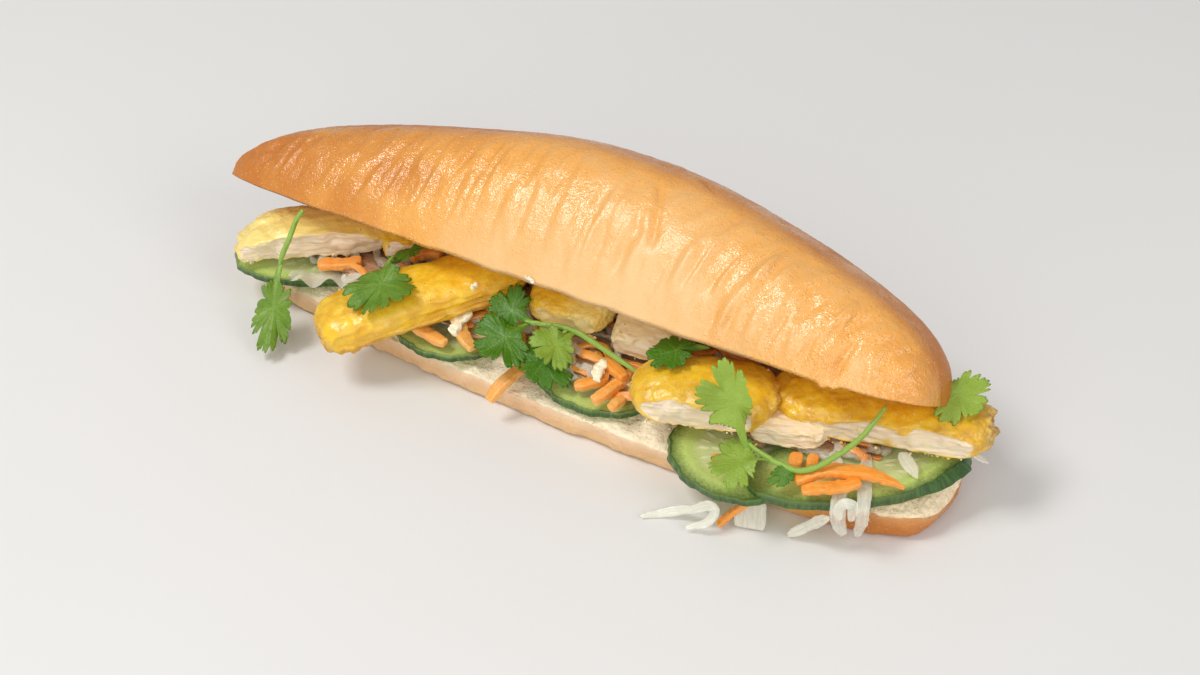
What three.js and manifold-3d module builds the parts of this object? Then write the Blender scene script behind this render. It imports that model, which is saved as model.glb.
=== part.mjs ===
// Banh mi sandwich: a crusty roll cut into two halves and filled with cucumber, chicken, pickled
// carrot and daikon, and coriander.
//
// Millimetres. +X runs along the roll, the open side faces -Y, +Z is up, and the underside of the
// lower half rests on z = 0 with its middle at the origin.

import * as THREE from 'three';
import { mergeVertices } from 'three/addons/utils/BufferGeometryUtils.js';
import Module from 'manifold-3d';

const wasm = await Module();
wasm.setup();

// ---------------------------------------------------------------------------------------------
// Driving dimensions
// ---------------------------------------------------------------------------------------------

const GAP = 0.45; // how far a neighbour is grown before it is cut out of a softer piece
const DEGREE = Math.PI / 180;

// The roll, shared by both halves. An end is sharper with a lower roundness.
const ROLL = {
  length: 270,
  width: 66.3,
  middle: -2.5,
  left: { roundness: 1.66, fullness: 0.318 },
  right: { roundness: 1.924, fullness: 0.269 },
};

const LID = {
  height: 46.9,
  squareness: 2.57, // of the cross-section, 2 being an ellipse
  leftDroop: 1.796, // how much faster than the width the height falls off towards each end
  rightDroop: 1.529,
  bow: 7.0, // how far its middle stands behind its ends
  hollow: 3.0, // how far the cut face is pressed in
  opening: 32.8 * DEGREE,
  pitch: 1.55 * DEGREE,
  hinge: [-9.4, 33.1, 13.9], // middle of the back lip
  domeShare: 0.6, // share of the points of a section that lie on the crust
  crown: 0.036, // share of the height by which the back rises and sinks along the roll
  crownPitch: 4.5,
  crownMiddle: 0.12,
  rightReach: 1,
  rightLift: 2.4,
};

const BASE = {
  frontLip: 8.6,
  backLip: 13.6,
  rightLipRise: 2.4,
  crumbRise: 2.6,
  tipHeight: 6.2,
  squareness: 5,
  endSquareness: 12, // keeps the lips at full height up to the rounded ends
  sink: 1.2, // above 1 the underside is pressed flat on what it rests on
  rightReach: -2.6,
  bow: 3.0,
};

const CUCUMBER_SKIN_GROOVE = 0.35;
const CUCUMBER_BIAS = 0.25;

// Cucumber slices from left to right: middle of the slice, half length, half width, thickness,
// and turns in degrees: yaw round Z, pitch lifts the right end, roll lifts the back.
const CUCUMBERS = [
  { at: [-108.2, -7.8, 15.2], half: [31, 16.2], thick: 2.8, yaw: 33, pitch: 1, roll: 3 },
  { at: [-48.5, -15, 15.1], half: [21.5, 19], thick: 2.8, yaw: -12, pitch: 0, roll: 3 },
  { at: [10, -11, 15.3], half: [24, 20.5], thick: 3, yaw: 0, pitch: -1, roll: 4 },
  { at: [67.5, -24.5, 15.1], half: [23.5, 20], thick: 3.2, yaw: -8, pitch: -2, roll: 3 },
  { at: [104.2, -12.2, 17], half: [36.4, 15.6], thick: 4.6, yaw: 41, pitch: 2, roll: 3 },
];

// Chicken slices: middle, half length, half width and half thickness, turns as above, where the
// front is cut (share of the half width), how blunt the left and right ends are, how far the ends
// slant from front to back and how far the left end droops.
const CHICKENS = [
  { at: [-107.5, -8, 26.8], half: [28.5, 12, 6], yaw: 34, pitch: 2, roll: 5, cut: 0.7, ends: [8, 4], slant: 4, droop: 3 },
  { at: [-68.5, 7, 28.6], half: [20, 12, 5.6], yaw: 24, pitch: 0, roll: 5, cut: 0.72, ends: [5, 4], slant: 0, droop: 0 },
  { at: [-53.4, -22.5, 29.2], half: [37, 12, 6.8], yaw: 44, pitch: 12, roll: 6, cut: 0.9, ends: [6, 4], slant: 0, droop: 2 },
  { at: [-6.2, -2.5, 33.8], half: [14.4, 12.5, 5.8], yaw: 6, pitch: 0, roll: 8, cut: 0.86, ends: [5, 7], slant: 0, droop: 0 },
  { at: [23.2, -0.5, 31.4], half: [13, 12, 5.8], yaw: 9, pitch: 0, roll: 8, cut: 0.86, ends: [7, 4], slant: 0, droop: 0 },
  { at: [52.6, -19.5, 30.8], half: [23.5, 13.5, 7.6], yaw: 19, pitch: 1, roll: 5, cut: 0.8, ends: [3, 5], slant: 0, droop: 1.5 },
  { at: [80.6, -15.5, 25.6], half: [12.5, 6.5, 4], yaw: 22, pitch: 0, roll: 2, cut: 0.8, ends: [4, 4], slant: 0, droop: 0 },
  { at: [102.4, 2.4, 30.2], half: [35.2, 12.5, 6.8], yaw: 18, pitch: 0, roll: 6, cut: 0.9, ends: [4, 9], slant: -2, droop: 0 },
];

// The heap of slaw fills the space between the pieces, inside an outline seen from above, and
// slopes up from its front edge towards the back.
const SLAW = {
  middle: [-5, 2],
  half: [116, 25],
  level: 19.2,
  frontTop: 20.4,
  backTop: 31,
  clearance: 0.8,
  margin: 4,
  shreds: 10,
  seed: 11,
};

// Carrot shreds as paths along their middles, with their width and thickness.
const CARROTS = [
  { path: [[-100.6, -20.4, 22], [-95, -17, 22.4], [-88, -11.6, 23.2]], size: [5, 3] },
  { path: [[-57, -29.5, 21.5], [-49, -30, 20.3], [-39, -31, 19.6]], size: [4.6, 3] },
  { path: [[-46, -19.5, 26.6], [-40, -23, 23.6], [-34, -27, 21.3], [-29, -29, 20.2]], size: [4.8, 2.6] },
  { path: [[-12, -23, 19], [-13.5, -28, 16.4], [-16, -34, 13.2], [-17.5, -38, 9.5]], size: [4.8, 2.8] },
  { path: [[9, -28, 19.8], [13, -24, 20.6], [17, -19.5, 21.4]], size: [4, 3.2] },
  { path: [[18, -31, 19.6], [20.5, -25, 20.9], [22.5, -18.5, 22.4], [23, -14, 23.6]], size: [4.2, 3.2] },
  { path: [[13, -15.5, 24.4], [18, -18, 24.8], [24, -20.5, 24.4]], size: [4.2, 3] },
  { path: [[24.5, -31, 19.4], [25.5, -27.5, 20], [26, -24.5, 20.4]], size: [3.6, 2.8] },
  { path: [[64, -35, 19.2], [70, -31.5, 19.6], [76, -28.5, 19.8]], size: [3.8, 2.6] },
  { path: [[86.5, -20.6, 21.2], [87.6, -23.4, 21.2], [89.2, -26.4, 21.4]], size: [4.4, 3] },
  { path: [[91.2, -18.4, 21.4], [92.4, -21, 21.5], [94, -24, 21.7]], size: [3.8, 3] },
  {
    path: [[93, -34.4, 23.2], [97.4, -28.2, 24.2], [105.9, -22.6, 24.5], [114.7, -19.8, 23.9], [122.4, -18, 22]],
    size: [5.4, 3],
    point: true,
  },
  { path: [[96.4, -36.4, 22.4], [100.8, -33, 22.9], [105.6, -29.2, 23], [110, -23.8, 23.2]], size: [5, 2.4] },
  { path: [[80.4, -37.6, 12], [77.4, -38.4, 8.5], [73.8, -39.9, 4], [71.8, -43.2, 1.6]], size: [2.8, 2] },
  { path: [[-71, -7, 28.4], [-65, -3.4, 30], [-60, -3, 31.4]], size: [4, 3] },
];

// Daikon and cabbage shreds: ribbons whose broad side looks along `face`.
const DAIKONS = [
  {
    path: [[95.3, -12.6, 20.5], [100.3, -19.4, 20.3], [105.6, -28.6, 20], [107.6, -33.4, 17.4], [108, -32.6, 12], [108.6, -29.4, 5]],
    size: [5, 1.3],
    face: [0.45, -0.7, 0.5],
  },
  {
    path: [[102.8, -5.6, 20.6], [107.6, -14.8, 20.4], [112.4, -25.4, 20], [114.4, -29.8, 17.4], [114, -29.2, 12], [112, -26.8, 4]],
    size: [4.6, 1.3],
    face: [0.45, -0.7, 0.5],
  },
  {
    path: [[109.6, -35.6, 16], [109.2, -35.8, 20.4], [110.8, -35.6, 23.4], [113.4, -34.8, 22.4], [113, -34.4, 16.4]],
    size: [3.6, 1.3],
    face: [0.45, -0.7, 0.5],
  },
  {
    path: [[106.4, -36, 14], [101.6, -34.6, 9], [97, -33.6, 4], [92.4, -35, 1.3]],
    size: [5, 1.2],
    face: [0.3, -0.6, 0.7],
  },
  { path: [[114.4, -4.6, 23.2], [117.4, -7, 22.4], [120.4, -9, 21.9], [123.4, -11, 21.5]], size: [4.8, 1.5], point: true },
  { path: [[132, 6.4, 22.6], [134.8, 8.4, 21], [137.6, 9.6, 19]], size: [3, 1.1], point: true },
  {
    path: [
      [49, -52, 1.1], [53.6, -48, 1.3], [59, -45, 3], [64, -44.6, 6], [69.2, -44.4, 9.6], [71.6, -44.6, 8.4],
      [70, -46.8, 4.6], [64, -49.6, 1.8],
    ],
    size: [4.2, 1.1],
    face: [0.2, -0.7, 0.6],
  },
  {
    path: [[80.4, -38.2, 0.9], [80, -37, 5.6], [78.8, -35.8, 10.6]],
    size: [10, 1.1],
    face: [0.3, -0.9, 0.4],
  },
  { path: [[-37.4, -29.4, 23], [-38.4, -25, 24.6], [-36.6, -19, 27]], size: [4.4, 2] },
  { path: [[15.5, -24.6, 22.6], [14.4, -20.4, 24.4], [14.4, -17.4, 26.6]], size: [4, 1.8] },
];

// One crinkled cabbage leaf edge, seen between cucumber and chicken at the left.
const CABBAGE = { at: [-97, -22, 18.8], size: [24, 9], yaw: 24, roll: -10, thick: 1, wave: 1.2, waves: 2.5 };

// Coriander sprigs. A leaf runs from its base to its tip, faces roughly along `face`, and is
// `spread` times as wide as a leaf of even shape; cup bends its sides down, arch bends its tip.
const STEM_RADIUS = 0.95;
const LEAF_THICKNESS = 0.7;
const LEAF_STEPS = 24;
const SPRIGS = [
  {
    stems: [[[-106, -19, 42], [-108, -21, 37.6], [-106.6, -26.4, 34.6], [-108.4, -28.4, 29], [-109.6, -29.6, 23]]],
    leaves: [{ base: [-109.4, -29, 24.6], tip: [-99.6, -52.6, 1.6], face: [0.2, -0.8, 0.6], spread: 0.48, cup: 0.5, arch: -0.1 }],
  },
  { stems: [], leaves: [{ base: [-67, -22.6, 38.6], tip: [-57, -47.6, 35.2], face: [-0.1, -0.3, 1], spread: 0.98, cup: 0.3, arch: 0.2 }] },
  { stems: [], leaves: [{ base: [-62.4, -7.6, 37], tip: [-69.4, -22, 35.6], face: [-0.3, -0.4, 1], spread: 0.5, cup: 0.5, arch: 0 }] },
  {
    stems: [
      [[27, -18.4, 27], [13, -16, 29], [1, -15, 31], [-7.4, -18.2, 32], [-14.4, -21.4, 32.6]],
      [[-1, -15.6, 31], [-2, -18, 29.8], [-2.2, -21, 28]],
    ],
    leaves: [
      { base: [-11.8, -20.4, 32.5], tip: [-28.6, -21, 37], face: [0, -0.6, 0.8], spread: 1.1, cup: 0.2, arch: 0.1 },
      { base: [-13, -21, 32.5], tip: [-20.4, -39.8, 28.6], face: [0.1, -0.5, 0.9], spread: 1.2, cup: 0.25, arch: 0.2 },
      { base: [1.4, -15.2, 31.1], tip: [-2.8, -33, 29.2], face: [0.3, -0.5, 0.8], spread: 1, cup: 0.3, arch: 0.2 },
      { base: [-2.2, -20.2, 28.6], tip: [-2.4, -37, 22.6], face: [0.3, -0.5, 0.8], spread: 1.4, cup: 0.3, arch: 0.2 },
    ],
  },
  { stems: [], leaves: [{ base: [47.4, -12, 42], tip: [33.6, -26, 41], face: [-0.2, -0.3, 1], spread: 0.8, cup: 0.3, arch: 0.2 }] },
  {
    stems: [
      [[74.4, -32, 29], [81, -32.6, 27], [88.5, -33.4, 26.4], [95, -31.6, 26.4], [100.4, -25.4, 28.6], [105.5, -15, 33], [109, -7, 40.6]],
    ],
    leaves: [
      { base: [74.6, -32, 28.6], tip: [65, -31, 58], face: [0.5, -0.8, 0.3], spread: 0.58, cup: 0.15, arch: 0.1 },
      { base: [83.8, -32.6, 26.7], tip: [66.4, -43.7, 25.2], face: [-0.1, -0.2, 1], spread: 1.1, cup: 0.25, arch: 0.25 },
      { base: [93.8, -31.6, 26.2], tip: [85.6, -39.4, 22.8], face: [0.2, -0.5, 0.8], spread: 0.6, cup: 0.3, arch: 0.1 },
    ],
  },
  { stems: [], leaves: [{ base: [116.7, 12, 42], tip: [134.4, 8, 38.6], face: [0.3, -0.4, 0.9], spread: 1.3, cup: 0.2, arch: 0.15 }] },
];

// ---------------------------------------------------------------------------------------------
// Materials
// ---------------------------------------------------------------------------------------------

const foodMaterial = (color, roughness) => new THREE.MeshStandardMaterial({ color, roughness, metalness: 0 });
const MATERIALS = {
  crust: foodMaterial('#d19a5b', 0.38),
  cucumber: foodMaterial('#a9c46a', 0.35),
  chicken: foodMaterial('#e0b23c', 0.42),
  slaw: foodMaterial('#e3dcc0', 0.45),
  carrot: foodMaterial('#ef8b32', 0.4),
  daikon: foodMaterial('#eef0e0', 0.35),
  coriander: foodMaterial('#4f9a2e', 0.45),
};

// ---------------------------------------------------------------------------------------------
// Mesh helpers
// ---------------------------------------------------------------------------------------------

/** Position-only copy of a geometry with shared vertices joined and collapsed triangles dropped. */
function merged(geometry) {
  const source = geometry.clone();
  source.deleteAttribute('normal');
  source.deleteAttribute('uv');
  const joined = mergeVertices(source, 1e-4);
  const kept = [];
  for (let i = 0; i < joined.index.count; i += 3) {
    const [a, b, c] = [joined.index.getX(i), joined.index.getX(i + 1), joined.index.getX(i + 2)];
    if (a !== b && b !== c && c !== a) kept.push(a, b, c);
  }
  joined.setIndex(kept);
  return joined;
}

/** Merged copy of a geometry whose vertices `move` shifts in place. */
function reshaped(geometry, move) {
  const result = merged(geometry);
  const { position } = result.attributes;
  const point = new THREE.Vector3();
  for (let i = 0; i < position.count; i += 1) {
    point.fromBufferAttribute(position, i);
    move(point);
    position.setXYZ(i, point.x, point.y, point.z);
  }
  return result;
}

/** Unit sphere whose poles lie on the X axis. */
const lengthwiseSphere = (around, along) => new THREE.SphereGeometry(1, around, along).rotateZ(-Math.PI / 2);

/** Closed sheet made by giving an open surface a thickness, both faces split alike. */
function thickened(surface, thickness) {
  const sheet = merged(surface);
  sheet.computeVertexNormals();
  const { position, normal } = sheet.attributes;
  const count = position.count;
  const points = [];
  for (const side of [0.5, -0.5]) {
    for (let i = 0; i < count; i += 1) {
      const offset = side * thickness;
      points.push(
        position.getX(i) + normal.getX(i) * offset,
        position.getY(i) + normal.getY(i) * offset,
        position.getZ(i) + normal.getZ(i) * offset,
      );
    }
  }
  const faces = [];
  const open = new Map();
  for (let i = 0; i < sheet.index.count; i += 3) {
    const corners = [0, 1, 2].map((k) => sheet.index.getX(i + k));
    faces.push(...corners, corners[2] + count, corners[1] + count, corners[0] + count);
    corners.forEach((a, k) => {
      const b = corners[(k + 1) % 3];
      if (!open.delete(`${b} ${a}`)) open.set(`${a} ${b}`, [a, b]);
    });
  }
  for (const [a, b] of open.values()) faces.push(a, a + count, b, b, a + count, b + count);
  const result = new THREE.BufferGeometry();
  result.setAttribute('position', new THREE.Float32BufferAttribute(points, 3));
  result.setIndex(faces);
  return result;
}

/** The geometry as a solid for joining and cutting. */
function solidOf(geometry) {
  const mesh = merged(geometry);
  return new wasm.Manifold(new wasm.Mesh({
    numProp: 3,
    vertProperties: new Float32Array(mesh.attributes.position.array),
    triVerts: new Uint32Array(mesh.index.array),
  }));
}

/** The solid as a geometry. */
function geometryOf(solid) {
  const mesh = solid.getMesh();
  const geometry = new THREE.BufferGeometry();
  geometry.setAttribute('position', new THREE.BufferAttribute(new Float32Array(mesh.vertProperties), 3));
  geometry.setIndex(new THREE.BufferAttribute(new Uint32Array(mesh.triVerts), 1));
  return geometry;
}

/** Geometry with every vertex moved out along its normal. */
function grown(geometry, distance) {
  const result = merged(geometry);
  result.computeVertexNormals();
  const { position, normal } = result.attributes;
  for (let i = 0; i < position.count; i += 1) {
    position.setXYZ(
      i,
      position.getX(i) + normal.getX(i) * distance,
      position.getY(i) + normal.getY(i) * distance,
      position.getZ(i) + normal.getZ(i) * distance,
    );
  }
  return result;
}

/** The largest single body left after cutting the neighbours, a little grown, out of a geometry. */
function trimmed(geometry, neighbours) {
  const box = new THREE.Box3().setFromBufferAttribute(geometry.attributes.position);
  let solid = solidOf(geometry);
  for (const neighbour of neighbours) {
    const reach = new THREE.Box3().setFromBufferAttribute(neighbour.attributes.position);
    const body = solidOf(neighbour);
    if (reach.intersectsBox(box) && !solid.intersect(body).isEmpty()) {
      solid = solid.subtract(solidOf(grown(neighbour, GAP))).subtract(body);
    }
  }
  const bodies = solid.decompose().sort((a, b) => b.volume() - a.volume());
  return geometryOf(bodies[0]);
}

/** Repeatable random numbers from 0 to 1. */
function randomFrom(seed) {
  let state = seed;
  return () => {
    state = (state + 0x6d2b79f5) | 0;
    let mixed = Math.imul(state ^ (state >>> 15), 1 | state);
    mixed = (mixed + Math.imul(mixed ^ (mixed >>> 7), 61 | mixed)) ^ mixed;
    return ((mixed ^ (mixed >>> 14)) >>> 0) / 4294967296;
  };
}

/** Gentle unevenness between -1 and 1 that depends on a place in space. */
const unevenness = (x, y, z, scale) => (
  Math.sin(x / scale + 1.3 * Math.sin(y / scale)) + Math.sin(y / (0.8 * scale) + z / scale + 2.1)
  + Math.sin((x + z) / (1.7 * scale) - 0.7)
) / 3;

/** Signed power that turns a circle into a squarer curve. */
const squared = (value, squareness) => Math.sign(value) * Math.abs(value) ** (2 / squareness);

const yawPitchRoll = ({ yaw = 0, pitch = 0, roll = 0 }) => (
  new THREE.Euler(roll * DEGREE, -pitch * DEGREE, yaw * DEGREE, 'ZYX')
);

// ---------------------------------------------------------------------------------------------
// The roll
// ---------------------------------------------------------------------------------------------

/** Share of the full width or height left at a station from -1 (left tip) to 1 (right tip). */
function rollTaper(station, leftDroop = 1, rightDroop = 1) {
  const end = station < 0 ? ROLL.left : ROLL.right;
  const droop = station < 0 ? leftDroop : rightDroop;
  return Math.max(1 - Math.abs(station) ** end.roundness, 0) ** (end.fullness * droop);
}

/** How far the roll's curved axis stands behind its ends at a place along it. */
const rollBow = (x, bow) => bow * (1 - (x / (ROLL.length / 2)) ** 2);

/** Upper half, in a frame whose origin is the middle of its back lip, cut face down. */
function makeLid() {
  return reshaped(lengthwiseSphere(28, 26), (point) => {
    const station = point.x;
    const turn = (Math.atan2(point.z, point.y) / (2 * Math.PI) + 1) % 1;
    const onDome = turn <= LID.domeShare;
    const angle = onDome
      ? (turn / LID.domeShare) * Math.PI
      : Math.PI * (1 + (turn - LID.domeShare) / (1 - LID.domeShare));
    const halfWidth = (ROLL.width / 2) * rollTaper(station);
    const crown = 1 + LID.crown * Math.cos(LID.crownPitch * (station - LID.crownMiddle));
    const height = crown * LID.height * rollTaper(station, LID.leftDroop, LID.rightDroop);
    const x = (station * ROLL.length) / 2 + ROLL.middle + LID.rightReach * Math.max(station, 0) ** 4;
    const swell = onDome ? 1 + 0.012 * unevenness(x, angle * 20, 0, 15) * Math.sin(angle) : 1;
    const across = onDome ? squared(Math.cos(angle), LID.squareness) : Math.cos(angle);
    const up = onDome ? height * squared(Math.sin(angle), LID.squareness) : -LID.hollow * Math.sin(angle);
    const narrowing = onDome ? 1 : rollTaper(station);
    point.set(
      x,
      across * halfWidth * swell + rollBow(x, LID.bow) - (ROLL.width / 2 + LID.bow),
      up * swell * narrowing + LID.rightLift * Math.max(station, 0) ** 6,
    );
  });
}

/** Lower half: a shallow trough of crust with its crumb rising to a low crown inside the lips. */
function makeBase() {
  return reshaped(lengthwiseSphere(24, 24), (point) => {
    const station = point.x;
    const angle = Math.atan2(point.z, point.y);
    const halfWidth = (ROLL.width / 2) * rollTaper(station);
    const x = (station * ROLL.length) / 2 + ROLL.middle + BASE.rightReach * Math.max(station, 0) ** 4;
    const fullness = Math.max(1 - Math.abs(station) ** BASE.endSquareness, 0) ** 0.4;
    const lip = BASE.frontLip + ((BASE.backLip - BASE.frontLip) * (1 + Math.cos(angle))) / 2;
    const lipHeight = BASE.tipHeight + (lip + BASE.rightLipRise * Math.max(station, 0) ** 3 - BASE.tipHeight) * fullness;
    const onCrumb = point.z >= 0;
    const across = onCrumb ? Math.cos(angle) : squared(Math.cos(angle), BASE.squareness);
    const crumb = BASE.crumbRise * Math.sin(angle) ** 0.6 * fullness + 0.5 * unevenness(x, point.y * 30, 0, 8) * point.z;
    const depth = (lipHeight - BASE.tipHeight * (1 - fullness)) * BASE.sink;
    const up = onCrumb ? lipHeight + crumb : Math.max(lipHeight + squared(Math.sin(angle), BASE.squareness) * depth, 0);
    point.set(x, across * halfWidth + rollBow(x, BASE.bow), up);
  });
}

// ---------------------------------------------------------------------------------------------
// Fillings
// ---------------------------------------------------------------------------------------------

/** A bias-cut cucumber slice round its own middle, its skin lightly ribbed. */
function makeCucumber({ half, thick }) {
  const disc = new THREE.CylinderGeometry(1, 1, thick, 26).rotateX(Math.PI / 2);
  return reshaped(disc, (point) => {
    const rib = 1 + (CUCUMBER_SKIN_GROOVE / half[0]) * Math.sin(13 * Math.atan2(point.y, point.x));
    point.set(point.x * half[0] * rib, point.y * half[1] * rib - point.z * CUCUMBER_BIAS, point.z);
  });
}

/** A chicken slice round its own middle: domed skin on top, flat underneath, cut at the front. */
function makeChicken({ half, cut, ends, slant, droop }, number) {
  const [length, width, height] = half;
  return reshaped(lengthwiseSphere(14, 11), (point) => {
    const bluntness = point.x < 0 ? ends[0] : ends[1];
    const station = squared(point.x, 3);
    const body = Math.max(1 - Math.abs(station) ** bluntness, 0) ** 0.5;
    const angle = Math.atan2(point.z, point.y);
    const squareness = point.z > 0 ? 2.4 : 3.6;
    const lump = 1 + 0.07 * unevenness(station * length + 31 * number, angle * 9, number, 9);
    const y = squared(Math.cos(angle), squareness) * width * body * lump;
    const z = squared(Math.sin(angle), squareness) * height * body ** 0.7 * (point.z > 0 ? lump : 0.85);
    const across = Math.max(y, -cut * width);
    point.set(station * length + (slant * across) / width, across, z - droop * Math.max(-station, 0) ** 2);
  });
}

/** A strip along a smooth path, its broad face turned towards `face`, pointed at the end on request. */
function makeStrip({ path, size, face = [0, 0, 1], point: pointed = false }) {
  const curve = new THREE.CatmullRomCurve3(path.map((p) => new THREE.Vector3(...p)));
  const facing = new THREE.Vector3(...face).normalize();
  const steps = Math.round(1.4 * path.length);
  return reshaped(new THREE.BoxGeometry(1, 1, 1, steps, 1, 1), (corner) => {
    const share = corner.x + 0.5;
    const tangent = curve.getTangentAt(share);
    const up = facing.clone().addScaledVector(tangent, -facing.dot(tangent)).normalize();
    const side = up.clone().cross(tangent);
    const tip = pointed ? 1 - 0.85 * share ** 4 : 1 - 0.25 * Math.abs(2 * share - 1) ** 6;
    const place = curve.getPointAt(share);
    place.addScaledVector(side, corner.y * size[0] * tip);
    place.addScaledVector(up, corner.z * size[1] * (pointed ? tip ** 0.5 : 1));
    corner.copy(place);
  });
}

/** Finds the free height nearest to a level over a place, as its lowest and highest point. */
function freeHeight(obstacles, x, y, level) {
  const ray = new THREE.Raycaster(new THREE.Vector3(x, y, -1), new THREE.Vector3(0, 0, 1));
  const gaps = [];
  let depth = 0;
  let floor = 0;
  for (const hit of ray.intersectObjects(obstacles)) {
    const entering = hit.face.normal.z < 0;
    if (entering && depth === 0) gaps.push([floor, hit.point.z]);
    depth += entering ? 1 : -1;
    if (depth === 0) floor = hit.point.z;
  }
  gaps.push([floor, SLAW.backTop]);
  const distance = ([low, high]) => Math.max(low - level, level - high, 0) + (high - low < 2 * SLAW.clearance ? 100 : 0);
  return gaps.sort((a, b) => distance(a) - distance(b))[0];
}

/** The heap of slaw: a core that fills the free height inside its outline, with shreds fused on. */
function makeSlaw(neighbours) {
  const obstacles = neighbours.map((geometry) => (
    new THREE.Mesh(geometry, new THREE.MeshBasicMaterial({ side: THREE.DoubleSide }))
  ));
  const [length, width] = SLAW.half;
  const random = randomFrom(SLAW.seed);
  const around = [[0, 0], [SLAW.margin, 0], [-SLAW.margin, 0], [0, SLAW.margin], [0, -SLAW.margin]];
  const heapHeight = (x, y, share) => {
    const gaps = around.map(([dx, dy]) => freeHeight(obstacles, x + dx, y + dy, SLAW.level));
    const low = Math.max(...gaps.map((gap) => gap[0])) + SLAW.clearance;
    const high = Math.min(...gaps.map((gap) => gap[1])) - SLAW.clearance;
    const slope = Math.min(Math.max((y - SLAW.middle[1]) / width + 1, 0), 1);
    const top = Math.max(Math.min(high, SLAW.frontTop + (SLAW.backTop - SLAW.frontTop) * slope), low);
    const middle = Math.min(Math.max(SLAW.level, low), top);
    return share > 0 ? middle + (top - middle) * share : middle + (middle - low) * share;
  };
  const core = reshaped(lengthwiseSphere(12, 22), (point) => {
    const lump = 1 + 0.05 * unevenness(point.x * length, point.y * width, 0, 6);
    const body = Math.max(1 - Math.abs(point.x) ** 3, 0) ** 0.42 / Math.max(Math.hypot(point.y, point.z), 1e-6);
    const x = SLAW.middle[0] + point.x * length;
    const y = SLAW.middle[1] + squared(point.y * body, 2.4) * width * lump;
    point.set(x, y, heapHeight(x, y, squared(point.z * body, 5)));
  });
  let solid = solidOf(core);
  for (let i = 0; i < SLAW.shreds; i += 1) {
    const station = ((i + 0.5) / SLAW.shreds - 0.5) * 1.8;
    const side = i % 2 ? 1 : -1;
    const turn = Math.PI * random();
    const reach = 6 + 4 * random();
    const x = SLAW.middle[0] + station * length;
    const y = SLAW.middle[1] + side * (0.86 + 0.06 * random()) * width * (1 - Math.abs(station) ** 3) ** 0.42;
    const middle = new THREE.Vector3(x, y, heapHeight(x, y, 0.2 + 0.5 * random()));
    const along = new THREE.Vector3(Math.cos(turn), 0.3 * Math.sin(turn), 0.3 * Math.sin(turn)).multiplyScalar(reach);
    const path = [-1, 1].map((step) => middle.clone().addScaledVector(along, step).toArray());
    solid = solid.add(solidOf(makeStrip({ path, size: [3.4, 2.4], face: [0, side, 0.6] })));
  }
  return geometryOf(solid);
}

/** A crinkled piece of cabbage leaf round its own middle. */
function makeCabbage({ size, thick, wave, waves }) {
  const sheet = reshaped(new THREE.PlaneGeometry(size[0], size[1], 12, 2), (point) => {
    const along = point.x / size[0];
    const across = point.y / size[1];
    point.z = wave * Math.sin(waves * 2 * Math.PI * along + across) * (0.7 - across);
    point.y += 1.4 * Math.sin(9 * along) - 2 * along ** 2;
  });
  return thickened(sheet, thick);
}

/** Outline radius of a coriander leaf round its middle, for an angle measured from its tip. */
function leafOutline(angle) {
  const turn = Math.abs(angle);
  const lobes = 0.33 + 0.17 * Math.abs(Math.cos(2.5 * turn)) ** 0.6;
  const narrowing = 1 - 0.5 * Math.min(Math.max((turn - 1.7) / 0.5, 0), 1);
  const stalk = 0.3 * Math.exp(-(((Math.PI - turn) / 0.3) ** 2));
  return lobes * narrowing + stalk + 0.035 * Math.cos((LEAF_STEPS / 2) * angle);
}

/** A thin lobed leaf between its base and tip, cupped across and arched along its length. */
function makeLeaf({ base, tip, face, spread, cup, arch }) {
  const start = new THREE.Vector3(...base);
  const along = new THREE.Vector3(...tip).sub(start);
  const length = along.length();
  along.normalize();
  const facing = new THREE.Vector3(...face);
  facing.addScaledVector(along, -facing.dot(along)).normalize();
  const side = facing.clone().cross(along);
  const rings = [0, 0.55, 1].map((radius) => new THREE.Vector2(radius, 0));
  const disc = new THREE.LatheGeometry(rings, LEAF_STEPS).rotateX(-Math.PI / 2);
  const blade = reshaped(disc, (point) => {
    const angle = Math.atan2(point.y, point.x);
    const radius = Math.hypot(point.x, point.y) * leafOutline(angle);
    const u = 0.45 + radius * Math.cos(angle);
    const v = radius * Math.sin(angle) * spread;
    const lift = -cup * v * v - arch * (u - 0.35) ** 2 + 0.02 * Math.sin(7 * u + 5 * v);
    point.copy(start)
      .addScaledVector(along, u * length)
      .addScaledVector(side, v * length)
      .addScaledVector(facing, lift * length);
  });
  return thickened(blade, LEAF_THICKNESS);
}

/** A round stem along a smooth path. */
function makeStem(path) {
  const curve = new THREE.CatmullRomCurve3(path.map((p) => new THREE.Vector3(...p)));
  const section = new THREE.Shape().absarc(0, 0, STEM_RADIUS, 0, 2 * Math.PI);
  const options = { steps: path.length + 2, curveSegments: 3, bevelEnabled: false, extrudePath: curve };
  return new THREE.ExtrudeGeometry(section, options);
}

/** A sprig: its stems and leaves joined into one body. */
function makeSprig({ stems, leaves }) {
  const pieces = [...stems.map(makeStem), ...leaves.map(makeLeaf)].map(solidOf);
  return geometryOf(pieces.reduce((whole, piece) => whole.add(piece)));
}

// ---------------------------------------------------------------------------------------------
// Assembly
// ---------------------------------------------------------------------------------------------

const sandwich = new THREE.Group();
const settled = [];

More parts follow.
